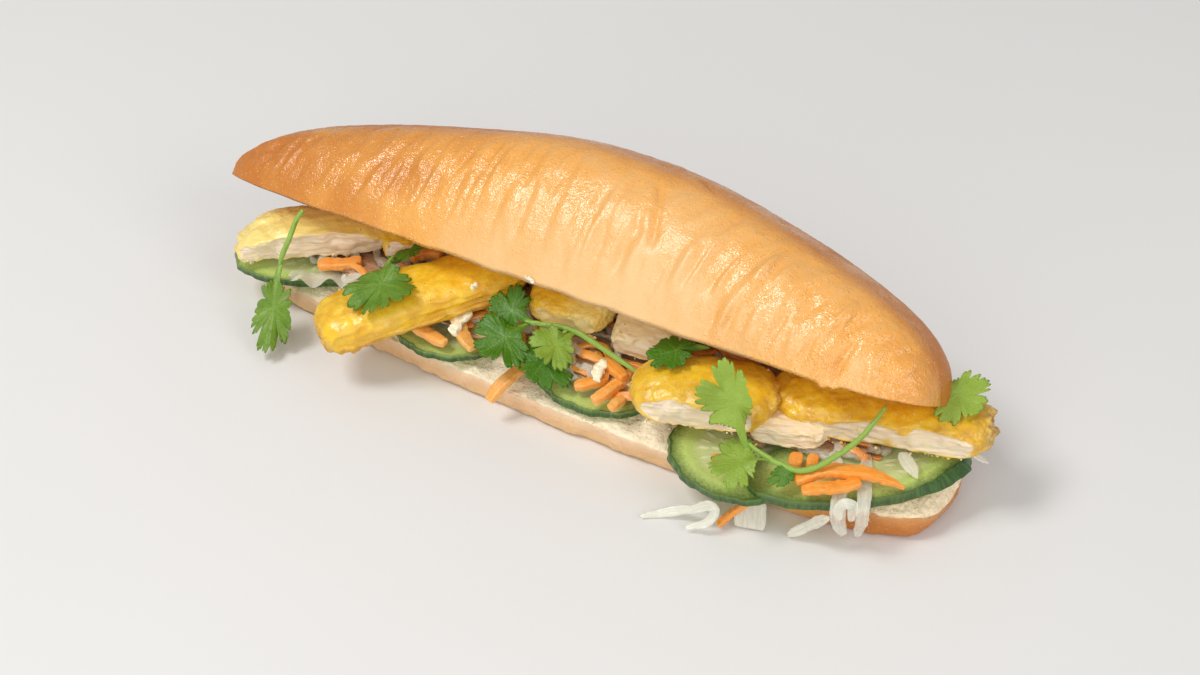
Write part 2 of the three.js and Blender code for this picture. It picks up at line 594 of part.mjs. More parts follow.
/**
 * Sets a piece into the sandwich. A rigid piece keeps its shape, a soft one gives way to all that
 * is there already. The mesh keeps its own frame, placed by its position and rotation.
 */
function settle(name, geometry, material, { at = [0, 0, 0], turn = new THREE.Euler(), soft = true } = {}) {
  const mesh = new THREE.Mesh(undefined, material);
  mesh.name = name;
  mesh.position.set(...at);
  mesh.rotation.copy(turn);
  mesh.updateMatrix();
  const placed = merged(geometry).applyMatrix4(mesh.matrix);
  const fitted = soft ? trimmed(placed, settled) : placed;
  settled.push(fitted);
  mesh.geometry = fitted.clone().applyMatrix4(mesh.matrix.clone().invert());
  sandwich.add(mesh);
}

settle('bread_bottom', makeBase(), MATERIALS.crust, { soft: false });
settle('bread_top', makeLid(), MATERIALS.crust, {
  at: LID.hinge,
  turn: new THREE.Euler(-LID.opening, -LID.pitch, 0, 'ZYX'),
});
CUCUMBERS.forEach((slice, i) => {
  settle(`cucumber_${i + 1}`, makeCucumber(slice), MATERIALS.cucumber, { at: slice.at, turn: yawPitchRoll(slice) });
});
CHICKENS.forEach((slice, i) => {
  settle(`chicken_${i + 1}`, makeChicken(slice, i), MATERIALS.chicken, { at: slice.at, turn: yawPitchRoll(slice) });
});
settle('slaw', makeSlaw(settled), MATERIALS.slaw);
CARROTS.forEach((shred, i) => settle(`carrot_${i + 1}`, makeStrip(shred), MATERIALS.carrot));
DAIKONS.forEach((shred, i) => settle(`daikon_${i + 1}`, makeStrip(shred), MATERIALS.daikon));
settle('cabbage', makeCabbage(CABBAGE), MATERIALS.daikon, { at: CABBAGE.at, turn: yawPitchRoll(CABBAGE) });
SPRIGS.forEach((sprig, i) => settle(`coriander_${i + 1}`, makeSprig(sprig), MATERIALS.coriander));

export default sandwich;
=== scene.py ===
import math
from collections import namedtuple
from functools import lru_cache
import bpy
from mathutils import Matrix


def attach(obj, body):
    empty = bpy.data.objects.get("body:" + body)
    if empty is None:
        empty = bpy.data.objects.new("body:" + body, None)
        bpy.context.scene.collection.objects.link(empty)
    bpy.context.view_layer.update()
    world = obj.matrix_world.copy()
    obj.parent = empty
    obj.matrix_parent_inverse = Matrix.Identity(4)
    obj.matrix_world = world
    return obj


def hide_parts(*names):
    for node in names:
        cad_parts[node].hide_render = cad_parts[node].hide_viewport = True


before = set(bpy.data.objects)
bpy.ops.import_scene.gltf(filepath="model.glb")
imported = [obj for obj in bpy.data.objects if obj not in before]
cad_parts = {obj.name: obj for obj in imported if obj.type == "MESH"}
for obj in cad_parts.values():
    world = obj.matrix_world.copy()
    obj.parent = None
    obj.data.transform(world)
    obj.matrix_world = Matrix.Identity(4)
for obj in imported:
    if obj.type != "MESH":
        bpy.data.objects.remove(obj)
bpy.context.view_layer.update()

from types import SimpleNamespace

import bmesh
import bpy
import numpy as np
from bpy.props import FloatProperty, FloatVectorProperty, IntProperty, PointerProperty
from mathutils import Matrix, Vector
from mathutils.bvhtree import BVHTree

# A banh mi sandwich: a crusty roll, open at the front, filled with cucumber, chicken, pickled
# carrot and daikon, and coriander. +X runs along the roll, the open side faces -Y and +Z is up.
# The tables are in millimetres and degrees, and the meshes in metres.

bl_info = {
    "name": "Banh mi sandwich",
    "version": (1, 0, 0),
    "blender": (4, 5, 0),
    "location": "View3D > Sidebar > Banh mi",
    "description": "Makes a filled banh mi sandwich round its solid model",
    "category": "Add Mesh",
}

MM = 0.001
BODY = "root"


# ----------------------------------------
# Places and sizes of the fillings, in millimetres and degrees
# ----------------------------------------

Cucumber = namedtuple("Cucumber", "at half thick turn bevel light", defaults=(0.0,))
Chicken = namedtuple(
    "Chicken",
    "at half turn cut ends brown pale frill meat slant droop bare torn lump ridge",
    defaults=(1.0, 0, 0, 0.0, 0.3, 1.0, False),
)
Shred = namedtuple(
    "Shred", "path size face pale point rough square", defaults=((0, 0, 1), 0.0, False, None, None)
)
Leaf = namedtuple("Leaf", "base tip face spread cup arch light narrow", defaults=(1.0,))
Sprig = namedtuple("Sprig", "leaves stems", defaults=((),))
Cabbage = namedtuple("Cabbage", "at size turn wave waves")

# Cucumber slices: middle, half length and width, thickness, turns (yaw, pitch, roll), where round
# the slice, how widely and how deeply its upper edge is cut back to the skin, and how light it is.
# The lightness is partly the paler flesh of those slices and partly painted light for slices in the
# shade of the lid.
CUCUMBERS = [
    Cucumber((-108.2, -7.8, 15.2), (31, 16.2), 2.8, (33, 1, 3), (-1.6, 1.0, 0.8), 0.1),
    Cucumber((-48.5, -15, 15.1), (21.5, 19), 2.8, (-12, 0, 3), (-1.8, 1.0, 0.8), 0.14),
    Cucumber((10, -11, 15.3), (24, 20.5), 3, (0, -1, 4), (-1.7, 1.0, 0.8), 0.14),
    Cucumber((67.5, -24.5, 15.1), (23.5, 20), 3.2, (-8, -2, 3), (-2.6, 0.9, 1.4)),
    Cucumber((104.2, -12.2, 17), (36.4, 15.6), 4.6, (41, 2, 3), (-0.5, 0.55, 4.0)),
]

# Chicken slices: as in the solids, with how brown the skin is, how pale and how frilly the two ends
# are and how much of the front shows meat. The paleness is partly the skin's own lighter colour and
# partly painted light on the slices that lie in the shade of the lid. A bare slice has no skin, a
# torn one a rougher cut.
CHICKENS = [
    Chicken((-107.5, -8, 26.8), (28.5, 12, 6), (34, 2, 5), 0.7, (8, 4), 0.14, (0.95, 0.55), (1.0, 0.1),
            slant=4, droop=3),
    Chicken((-68.5, 7, 28.6), (20, 12, 5.6), (24, 0, 5), 0.72, (5, 4), 0.1, (0, 0), (0.1, 0.1)),
    Chicken((-53.4, -22.5, 29.2), (37, 12, 6.8), (44, 12, 6), 0.9, (14, 4), 0.2, (-0.1, -0.25), (0.5, 0.1),
            meat=0.0, droop=2, lump=0.6, ridge=True),
    Chicken((-6.2, -2.5, 33.8), (14.4, 12.5, 5.8), (6, 0, 8), 0.86, (5, 7), 0.15, (0, 0.7), (0.1, 0.3),
            meat=0.4),
    Chicken((23.2, -0.5, 31.4), (13, 12, 5.8), (9, 0, 8), 0.86, (7, 4), 0.0, (0.85, 0.85), (0.2, 0.3),
            meat=0.9, bare=0.75),
    Chicken((52.6, -19.5, 30.8), (23.5, 13.5, 7.6), (19, 1, 5), 0.8, (3.4, 5), 0.36, (0, 0), (0.5, 0.9),
            droop=1.5, lump=0.65),
    Chicken((80.6, -15.5, 25.6), (12.5, 6.5, 4), (22, 0, 2), 0.8, (4, 4), 0.0, (1, 1), (0.2, 0.4), bare=0.9,
            torn=0.6),
    Chicken((102.4, 2.4, 30.2), (35.2, 12.5, 6.8), (18, 0, 6), 0.9, (4, 9), 0.45, (0, 0), (0.3, 1.0),
            slant=-2, torn=0.5),
]

# Carrot shreds: the path along the middle, width and thickness, and whether the end is pointed.
CARROTS = [
    Shred([(-100.6, -20.4, 22), (-95, -17, 22.4), (-88, -11.6, 23.2)], (5, 3)),
    Shred([(-57, -29.5, 21.5), (-49, -30, 20.3), (-39, -31, 19.6)], (4.6, 3), pale=0.28),
    Shred([(-46, -19.5, 26.6), (-40, -23, 23.6), (-34, -27, 21.3), (-29, -29, 20.2)], (4.8, 2.6), pale=0.5),
    Shred([(-12, -23, 19), (-13.5, -28, 16.4), (-16, -34, 13.2), (-17.5, -38, 9.5)], (4.8, 2.8), pale=0.28),
    Shred([(9, -28, 19.8), (13, -24, 20.6), (17, -19.5, 21.4)], (4, 3.2), pale=0.05),
    Shred([(18, -31, 19.6), (20.5, -25, 20.9), (22.5, -18.5, 22.4), (23, -14, 23.6)], (4.2, 3.2), pale=0.2),
    Shred([(13, -15.5, 24.4), (18, -18, 24.8), (24, -20.5, 24.4)], (4.2, 3)),
    Shred([(24.5, -31, 19.4), (25.5, -27.5, 20), (26, -24.5, 20.4)], (3.6, 2.8), pale=0.35),
    Shred([(64, -35, 19.2), (70, -31.5, 19.6), (76, -28.5, 19.8)], (3.8, 2.6)),
    Shred([(86.5, -20.6, 21.2), (87.6, -23.4, 21.2), (89.2, -26.4, 21.4)], (4.4, 3)),
    Shred([(91.2, -18.4, 21.4), (92.4, -21, 21.5), (94, -24, 21.7)], (3.8, 3)),
    Shred([(93, -34.4, 23.2), (97.4, -28.2, 24.2), (105.9, -22.6, 24.5), (114.7, -19.8, 23.9),
          (122.4, -18, 22)], (5.4, 3), point=True),
    Shred([(96.4, -36.4, 22.4), (100.8, -33, 22.9), (105.6, -29.2, 23), (110, -23.8, 23.2)], (5, 2.4)),
    Shred([(80.4, -37.6, 12), (77.4, -38.4, 8.5), (73.8, -39.9, 4), (71.8, -43.2, 1.6)], (2.8, 2)),
    Shred([(-71, -7, 28.4), (-65, -3.4, 30), (-60, -3, 31.4)], (4, 3)),
]

# Daikon shreds: as the carrot, with the way that the broad side faces.
DAIKONS = [
    Shred([(95.3, -12.6, 20.5), (100.3, -19.4, 20.3), (105.6, -28.6, 20), (107.6, -33.4, 17.4),
          (108, -32.6, 12), (108.6, -29.4, 5)], (5, 1.3), face=(0.45, -0.7, 0.5)),
    Shred([(102.8, -5.6, 20.6), (107.6, -14.8, 20.4), (112.4, -25.4, 20), (114.4, -29.8, 17.4),
          (114, -29.2, 12), (112, -26.8, 4)], (4.6, 1.3), face=(0.45, -0.7, 0.5)),
    Shred([(109.6, -35.6, 16), (109.2, -35.8, 20.4), (110.8, -35.6, 23.4), (113.4, -34.8, 22.4),
          (113, -34.4, 16.4)], (3.6, 1.3), face=(0.45, -0.7, 0.5)),
    Shred([(106.4, -36, 15.5), (101.6, -34.8, 11), (97, -34, 5.8), (92.2, -35, 1.3)], (3.6, 1.1),
          face=(0.3, -0.6, 0.7)),
    Shred([(114.4, -4.6, 23.2), (117.4, -7, 22.4), (120.4, -9, 21.9), (123.4, -11, 21.5)], (4.8, 1.5),
          point=True),
    Shred([(132, 6.4, 22.6), (134.8, 8.4, 21), (137.6, 9.6, 19)], (3, 1.1), point=True),
    Shred([(49, -52, 1.1), (53.6, -48, 1.3), (59, -45, 3), (64, -44.6, 6), (69.2, -44.4, 9.6),
          (71.6, -44.6, 8.4), (70, -46.8, 4.6), (64, -49.6, 1.8)], (3.2, 1), face=(0.2, -0.7, 0.6)),
    Shred([(80.4, -38.2, 0.9), (80, -37, 5.6), (78.8, -35.8, 10.6)], (10, 0.9), face=(0.3, -0.9, 0.4),
          square=6),
    Shred([(-37.4, -29.4, 23), (-38.4, -25, 24.6), (-36.6, -19, 27)], (4.4, 2), rough=0.7),
    Shred([(15.5, -24.6, 22.6), (14.4, -20.4, 24.4), (14.4, -17.4, 26.6)], (4, 1.8), rough=0.7),
]

CABBAGE = Cabbage((-97, -22, 18.8), (24, 9), (24, 0, -10), 1.2, 2.5)

# Coriander sprigs: leaves from base to tip with the way they face, how wide they are, how far their
# sides and tip bend down and how light their green is, and stems as paths.
SPRIGS = [
    Sprig([Leaf((-109.4, -29, 24.6), (-99.6, -52.6, 1.6), (0.2, -0.8, 0.6), 0.48, 0.5, -0.1, 0.4)],
          [[(-106, -19, 42), (-108, -21, 37.6), (-106.6, -26.4, 34.6), (-108.4, -28.4, 29),
            (-109.6, -29.6, 23)]]),
    Sprig([Leaf((-67, -22.6, 38.6), (-57, -47.6, 35.2), (-0.1, -0.3, 1), 0.98, 0.3, 0.2, 0.25)]),
    Sprig([Leaf((-62.4, -7.6, 37), (-69.4, -22, 35.6), (-0.3, -0.4, 1), 0.5, 0.5, 0, 0.1)]),
    Sprig([Leaf((-11.8, -20.4, 32.5), (-28.6, -21, 37), (0, -0.6, 0.8), 1.1, 0.2, 0.1, -0.1),
           Leaf((-13, -21, 32.5), (-20.4, -39.8, 28.6), (0.1, -0.5, 0.9), 1.2, 0.25, 0.2, 0.0),
           Leaf((1.4, -15.2, 31.1), (-2.8, -33, 29.2), (0.3, -0.5, 0.8), 1, 0.3, 0.2, 0.7),
           Leaf((-2.2, -20.2, 28.6), (-2.4, -37, 22.6), (0.3, -0.5, 0.8), 1.4, 0.3, 0.2, -0.1)],
          [[(27, -18.4, 27), (13, -16, 29), (1, -15, 31), (-7.4, -18.2, 32), (-14.4, -21.4, 32.6)],
            [(-1, -15.6, 31), (-2, -18, 29.8), (-2.2, -21, 28)]]),
    Sprig([Leaf((47.4, -12, 42), (33.6, -26, 41), (-0.2, -0.3, 1), 0.8, 0.3, 0.2, -0.15)]),
    Sprig([Leaf((74.6, -32, 28.6), (65, -31, 58), (0.5, -0.8, 0.3), 0.86, 0.15, 0.1, 1.15, 0.42),
           Leaf((83.8, -32.6, 26.7), (66.4, -43.7, 25.2), (-0.1, -0.2, 1), 1.1, 0.25, 0.25, 0.85),
           Leaf((93.8, -31.6, 26.2), (85.6, -39.4, 22.8), (0.2, -0.5, 0.8), 0.6, 0.3, 0.1, 0.1)],
          [[(74.4, -32, 29), (81, -32.6, 27), (88.5, -33.4, 26.4), (95, -31.6, 26.4), (100.4, -25.4, 28.6),
            (105.5, -15, 33), (109, -7, 40.6)]]),
    Sprig([Leaf((116.7, 12, 42), (134.4, 8, 38.6), (0.3, -0.4, 0.9), 1.3, 0.2, 0.15, 1.05)]),
]


# ----------------------------------------
# Sizes and colours that a user would change
# ----------------------------------------


def length(name, description, default):
    """A length property with its default in millimetres."""
    return FloatProperty(name=name, description=description, default=default * MM, min=0.0, unit="LENGTH")


def angle(name, description, default):
    """An angle property with its default in degrees."""
    return FloatProperty(name=name, description=description, default=math.radians(default), unit="ROTATION")


def colour(name, description, default):
    """A colour property in scene linear values."""
    return FloatVectorProperty(
        name=name, description=description, default=default, subtype="COLOR", size=3, min=0.0, max=1.0
    )


class BanhMiBread(bpy.types.PropertyGroup):
    """Sizes and colours of the roll."""

    roll_length: length("Roll length", "Length of the roll from tip to tip", 270)
    roll_width: length("Roll width", "Width of the roll across its middle", 66.3)
    lid_height: length("Lid height", "Height of the upper half over its cut face", 46.9)
    opening: angle("Opening", "How far the upper half is tilted open", 32.8)
    wrinkle_depth: length("Wrinkle depth", "Height of the folds across the crust", 1.6)
    pore_depth: length("Pore depth", "Depth of the holes in the crumb", 1.1)
    crust_pale: colour("Pale crust", "Crust beside the cut edge", (0.83, 0.52, 0.22))
    crust_soft: colour("Soft crust", "Barely baked crust of the lower half", (0.80, 0.49, 0.26))
    crust_gold: colour("Golden crust", "Crust over most of the roll", (0.87, 0.40, 0.075))
    crust_dark: colour("Dark crust", "Crust on the back and at the tips", (0.55, 0.165, 0.004))
    crumb: colour("Crumb", "Soft inside of the roll", (1.0, 0.88, 0.64))


class BanhMiChicken(bpy.types.PropertyGroup):
    """Colours and relief of the chicken."""

    skin: colour("Glazed skin", "Turmeric-yellow outside of a slice", (0.94, 0.61, 0.03))
    skin_pale: colour("Pale skin", "Lighter, drier patches of the outside", (0.95, 0.77, 0.25))
    skin_deep: colour("Deep skin", "Darker golden patches of the outside", (0.78, 0.40, 0.01))
    browned: colour("Browned skin", "Roasted edges of a slice", (0.33, 0.10, 0.008))
    meat: colour("Meat", "Cut face of a slice", (0.93, 0.80, 0.60))
    meat_dark: colour("Meat shadow", "Darker fibres of the cut face", (0.86, 0.68, 0.45))
    lump: length("Lumps", "Height of the uneven places on a slice", 0.9)
    frill: length("Frill", "How far the crumbly lower edge stands out", 1.3)


class BanhMiVegetables(bpy.types.PropertyGroup):
    """Colours of the cucumber, the pickles and the cabbage."""

    cucumber_flesh: colour("Cucumber flesh", "Flesh near the skin", (0.52, 0.66, 0.19))
    cucumber_heart: colour("Cucumber heart", "Moist middle with the seeds", (0.62, 0.70, 0.32))
    cucumber_skin: colour("Cucumber skin", "Dark skin of the cucumber", (0.022, 0.080, 0.006))
    carrot: colour("Carrot", "Pickled carrot", (0.94, 0.30, 0.012))
    carrot_pale: colour("Carrot core", "Lighter streaks in the carrot", (0.96, 0.54, 0.16))
    daikon: colour("Daikon", "Pickled daikon and cabbage", (0.93, 0.92, 0.80))
    daikon_clear: colour("Clear daikon", "Glassy streaks in the daikon", (0.88, 0.86, 0.70))
    slaw_shade: colour("Slaw in shade", "Pickles deep between the slices", (0.72, 0.34, 0.09))
    shred_count: IntProperty(
        name="Loose shreds", description="Shreds laid on the heap of slaw", default=200
    )


class BanhMiHerbs(bpy.types.PropertyGroup):
    """Sizes and colours of the coriander."""

    stem_radius: length("Stem radius", "Radius of a stem", 0.95)
    leaf_thickness: length("Leaf thickness", "Thickness of a leaf", 0.5)
    leaf: colour("Leaf", "Upper face of a leaf", (0.06, 0.175, 0.004))
    leaf_light: colour("Light leaf", "Paler leaves and undersides", (0.30, 0.43, 0.055))
    stem: colour("Stem", "Stems and veins", (0.30, 0.48, 0.085))


class BanhMiStage(bpy.types.PropertyGroup):
    """Floor, light and camera round the sandwich."""

    floor: colour("Floor", "Plain pale floor", (0.80, 0.79, 0.775))
    distance: length("Camera distance", "From the camera to the middle of the view", 784.9)
    azimuth: angle("Camera azimuth", "Turn of the camera to the right of the front", 32.4)
    elevation: angle("Camera elevation", "Height of the camera over the floor", 37.0)
    lens: FloatProperty(name="Lens", description="Focal length in millimetres", default=70.0)


SETTINGS = {
    "banh_mi_bread": BanhMiBread,
    "banh_mi_chicken": BanhMiChicken,
    "banh_mi_vegetables": BanhMiVegetables,
    "banh_mi_herbs": BanhMiHerbs,
    "banh_mi_stage": BanhMiStage,
}


# ----------------------------------------
# Shape helpers
# ----------------------------------------


def ramp(values, low, high):
    """0 below `low`, 1 above `high` and an even curve between."""
    t = np.clip((values - low) / (high - low), 0.0, 1.0)
    return t * t * (3 - 2 * t)


def bell(values, centre, spread):
    """A smooth bump of height 1 round a centre."""
    return np.exp(-(((values - centre) / spread) ** 2))


def rows(*columns):
    """Columns of numbers side by side, with single numbers repeated."""
    return np.stack(np.broadcast_arrays(*columns), axis=1)


def noise(points, scale, seed=0):
    """Smooth random values from -1 to 1 at points, with features about `scale` across."""
    cell = points / scale + 19.7 * seed
    base = np.floor(cell).astype(np.int64)
    local = cell - base
    blend = local**3 * (local * (local * 6 - 15) + 10)
    total = np.zeros(len(points))
    for corner in np.ndindex(2, 2, 2):
        x, y, z = (base + corner).T
        mixed = (x * 73856093) ^ (y * 19349663) ^ (z * 83492791) ^ (seed * 2654435)
        mixed = ((mixed ^ (mixed >> 13)) * 1274126177) & 0x7FFFFFFF
        mixed = ((mixed ^ (mixed >> 15)) * 1911520717) & 0x7FFFFFFF
        weight = np.prod(np.where(corner, blend, 1 - blend), axis=1)
        total += weight * (mixed / 0x3FFFFFFF - 1)
    return total


def fractal_noise(points, scale, octaves=3, seed=0):
    """Lattice noise with finer and weaker copies of itself added."""
    total = np.zeros(len(points))
    for octave in range(octaves):
        total += noise(points, scale / 2**octave, seed + octave) / 1.8**octave
    return total


def squared(values, squareness):
    """Signed power that turns a circle into a squarer curve."""
    return np.sign(values) * np.abs(values) ** (2 / squareness)


def unevenness(x, y, z, scale):
    """Gentle unevenness between -1 and 1, the same as in the solids."""
    waves = np.sin(x / scale + 1.3 * np.sin(y / scale))
    waves += np.sin(y / (0.8 * scale) + z / scale + 2.1)
    waves += np.sin((x + z) / (1.7 * scale) - 0.7)
    return waves / 3


def turned(points, angles, at):
    """Points turned by angles in degrees (pitch lifts the right end, roll the back) and moved."""
    yaw, pitch, roll = angles
    turn = Matrix.Rotation(math.radians(yaw), 3, "Z")
    turn = turn @ Matrix.Rotation(math.radians(-pitch), 3, "Y")
    turn = turn @ Matrix.Rotation(math.radians(roll), 3, "X")
    return points @ np.array(turn).T + np.array(at)


def read_rows(items, name):
    """A vector that each item of a mesh has, as rows of numbers."""
    values = np.zeros(3 * len(items), dtype=np.float32)
    items.foreach_get(name, values)
    return values.reshape(-1, 3).astype(float)


def move_points(mesh, points):
    """Sets the points of a mesh from places in millimetres."""
    mesh.vertices.foreach_set("co", (points * MM).astype(np.float32).ravel())
    mesh.update()


def mesh_from(bm):
    """A mesh from a bmesh, which is freed."""
    mesh = bpy.data.meshes.new("part")
    bm.to_mesh(mesh)
    bm.free()
    return mesh


@lru_cache(maxsize=None)
def plain_sphere(around, along):
    """A unit sphere that is made once and copied."""
    bm = bmesh.new()
    bmesh.ops.create_uvsphere(bm, u_segments=around, v_segments=along, radius=1.0)
    return mesh_from(bm)


def sphere_mesh(around, along, lengthwise=True):
    """A unit sphere and its points; lengthwise puts the poles on the X axis."""
    mesh = plain_sphere(around, along).copy()
    points = read_rows(mesh.vertices, "co")
    if lengthwise:
        points = points[:, (2, 0, 1)]
    return mesh, points


def joined(parts):
    """One mesh from several, which are removed."""
    bm = bmesh.new()
    for part in parts:
        bm.from_mesh(part)
        bpy.data.meshes.remove(part)
    return mesh_from(bm)


def sharpen(mesh, chosen):
    """Keeps the shading crisp along the edges between chosen points."""
    ends = np.empty(2 * len(mesh.edges), dtype=np.int32)
    mesh.edges.foreach_get("vertices", ends)
    mesh.edges.foreach_set("use_edge_sharp", chosen[ends.reshape(-1, 2)].all(axis=1))


def keep_marks(mesh, marks):
    """Stores values at the points of a mesh, for the materials to read."""
    for name, values in marks.items():
        is_vector = np.ndim(values) == 2
        layer = mesh.attributes.new(name, "FLOAT_VECTOR" if is_vector else "FLOAT", "POINT")
        flat = np.asarray(values, dtype=np.float32).ravel()
        layer.data.foreach_set("vector" if is_vector else "value", flat)


def make_piece(name, mesh, marks, material, nodes):
    """Turns a mesh into a finished piece that stands for its solids."""
    bm = bmesh.new()
    bm.from_mesh(mesh)
    bmesh.ops.recalc_face_normals(bm, faces=bm.faces)
    bm.to_mesh(mesh)
    bm.free()
    mesh.name = name
    keep_marks(mesh, marks)
    mesh.materials.append(material)
    mesh.polygons.foreach_set("use_smooth", [True] * len(mesh.polygons))
    piece = bpy.data.objects.new(name, mesh)
    bpy.context.collection.objects.link(piece)
    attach(piece, BODY)
    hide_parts(*nodes)
    return piece


def path_places(path, shares):
    """Places and directions along a smooth path through points, at shares of its length."""
    control = np.array([Vector(point) for point in path])
    padded = np.vstack([2 * control[0] - control[1], control, 2 * control[-1] - control[-2]])
    spans = len(control) - 1
    fine = np.linspace(0, spans, 24 * spans + 1)
    index = np.minimum(fine.astype(int), spans - 1)
    t = (fine - index)[:, None]
    a, b, c, d = (padded[index + k] for k in range(4))
    line = 0.5 * (2 * b + (c - a) * t + (2 * a - 5 * b + 4 * c - d) * t**2 + (3 * b - a - 3 * c + d) * t**3)
    steps = np.linalg.norm(np.diff(line, axis=0), axis=1)
    travelled = np.concatenate([[0], np.cumsum(steps)])
    wanted = np.asarray(shares) * travelled[-1]
    slopes = np.gradient(line, axis=0)
    places = rows(*(np.interp(wanted, travelled, column) for column in line.T))
    directions = rows(*(np.interp(wanted, travelled, column) for column in slopes.T))
    directions /= np.linalg.norm(directions, axis=1, keepdims=True)
    return places, directions, travelled[-1]


def shred_mesh(path, size, face=(0, 0, 1), pointed=False, squareness=5.0, detail=(16, 40), seed=0,
               waver=0.25, rough=0.12):
    """One shred along a path, and a vector at each point that follows its fibres."""
    part, start = sphere_mesh(*detail)
    share_along = np.arcsin(np.clip(start[:, 0], -1, 1)) / math.pi + 0.5
    places, along, reach = path_places(path, share_along)
    turn = np.arctan2(start[:, 2], start[:, 1])
    end_round = np.clip(np.minimum(share_along, 1 - share_along) * reach / (0.2 * size[1]), 0, 1)
    end_round = 1 - (1 - end_round) ** 3
    taper = 1 - 0.85 * share_along**4 if pointed else 1 - 0.15 * np.abs(2 * share_along - 1) ** 6
    if squareness < 5:
        uneven = noise(rows(share_along * reach, 0, 0), 6.0, seed + 9)
        narrowing = 0.6 if squareness < 4 else 0.28
        taper = taper * (0.96 + 0.1 * uneven) * (1 - narrowing * np.abs(2 * share_along - 1) ** 4)
    facing = np.array(Vector(face).normalized())
    up = facing - along * (along @ facing)[:, None]
    up /= np.linalg.norm(up, axis=1, keepdims=True)
    side = np.cross(up, along)
    wide = squared(np.cos(turn), squareness) * size[0] / 2 * taper * end_round
    deep = squared(np.sin(turn), squareness) * size[1] / 2 * np.sqrt(taper) * end_round
    points = places + side * wide[:, None] + up * deep[:, None]
    wobble = rows(*(noise(places, 5.0, seed + k) for k in range(3)))
    points = points + waver * wobble + rough * noise(points, 1.4, seed + 5)[:, None] * (up + side)
    move_points(part, points)
    grain = rows(share_along * reach, wide, deep) + 40.0 * seed
    return part, grain


# ----------------------------------------
# Material helpers
# ----------------------------------------


class Signal:
    """An output of a node, which can be added and multiplied like a number."""

    def __init__(self, sheet, socket):
        self.sheet = sheet
        self.socket = socket

    def __add__(self, other):
        return self.sheet.math("ADD", self, other)

    def __mul__(self, other):
        return self.sheet.math("MULTIPLY", self, other)

    def most(self, other):
        """The larger of two values."""
        return self.sheet.math("MAXIMUM", self, other)

    def spread(self, low, high, to_low=0.0, to_high=1.0):
        """Maps a range of values evenly onto another one and clamps them."""
        inputs = {"Value": self, "From Min": low, "From Max": high, "To Min": to_low, "To Max": to_high}
        return self.sheet.add("ShaderNodeMapRange", inputs, "Result")

    def vary(self, least, most):
        """Maps a mask from 0 to 1 onto another range."""
        return self.spread(0.0, 1.0, least, most)

    def beside(self, output):
        """Another output of the same node."""
        return Signal(self.sheet, self.socket.node.outputs[output])


class NodeSheet:
    """Adds nodes to one shader tree and gives their outputs as signals."""

    def __init__(self, tree):
        self.tree = tree

    def feed(self, socket, value):
        """Links a socket to a signal or sets its own value."""
        if isinstance(value, Signal):
            self.tree.links.new(value.socket, socket)
        else:
            socket.default_value = value

    def add(self, kind, inputs, output=0, **choices):
        """Adds a node, sets its choices, fills its inputs and gives one of its outputs."""
        node = self.tree.nodes.new(kind)
        for name, value in choices.items():
            setattr(node, name, value)
        for name, value in inputs.items():
            self.feed(node.inputs[name], value)
        return Signal(self, node.outputs[output])

    def mark(self, name, output="Fac"):
        """A value stored at the points of the mesh."""
        return self.add("ShaderNodeAttribute", {}, output, attribute_name=name)

    def noise(self, place, size, detail=3.0, roughness=0.5):
        """Noise from 0 to 1 with features of a size in the units of the place."""
        inputs = {"Vector": place, "Scale": 1 / size, "Detail": detail, "Roughness": roughness}
        return self.add("ShaderNodeTexNoise", inputs, "Fac")

    def cells(self, place, scale, feature="SMOOTH_F1"):
        """Distance in a pattern of uneven cells."""
        inputs = {"Vector": place, "Scale": scale}
        return self.add("ShaderNodeTexVoronoi", inputs, "Distance", feature=feature)

    def math(self, operation, first, second):
        """A sum, product or other simple operation on two values."""
        return self.add("ShaderNodeMath", {0: first, 1: second}, operation=operation)

    def mix(self, share, first, second):
        """A colour between two others."""
        return self.add("ShaderNodeMix", {0: share, 6: first, 7: second}, 2, data_type="RGBA")

    def blend(self, share, first, second):
        """A number between two others."""
        return self.add("ShaderNodeMix", {0: share, 2: first, 3: second})

    def stretched(self, place, factors):
        """A vector whose parts are multiplied by factors."""
        return self.add("ShaderNodeVectorMath", {0: place, 1: factors}, operation="MULTIPLY")

    def bump(self, height, distance):
        """A normal from a height from 0 to 1 that stands for a distance in millimetres."""
        inputs = {"Height": height, "Distance": distance * MM, "Strength": 1.0}
        return self.add("ShaderNodeBump", inputs, "Normal")

    def shared(self, name, *values):
        """The output of a shared group, which takes a place and then its numbers in order."""
        tree = bpy.data.node_groups.get(name) or GROUP_MAKERS[name](name)
        return self.add("ShaderNodeGroup", dict(enumerate(values)), node_tree=tree)

    def finish(self, colour, roughness, normal=None, alpha=1.0, subsurface=0.0, radius=(1.0, 0.6, 0.4),
               reach=1.5, coat=0.0, coat_roughness=0.2, specular=0.5):
        """Fills the inputs of the shader; `reach` is how deep light goes, in millimetres."""
        shader = next(node for node in self.tree.nodes if node.type == "BSDF_PRINCIPLED")
        values = {
            "Base Color": colour, "Roughness": roughness, "Alpha": alpha, "Subsurface Weight": subsurface,
            "Subsurface Radius": radius, "Subsurface Scale": reach * MM, "Coat Weight": coat,
            "Coat Roughness": coat_roughness, "Specular IOR Level": specular,
        }
        if normal:
            values["Normal"] = normal
        for name, value in values.items():
            self.feed(shader.inputs[name], value)


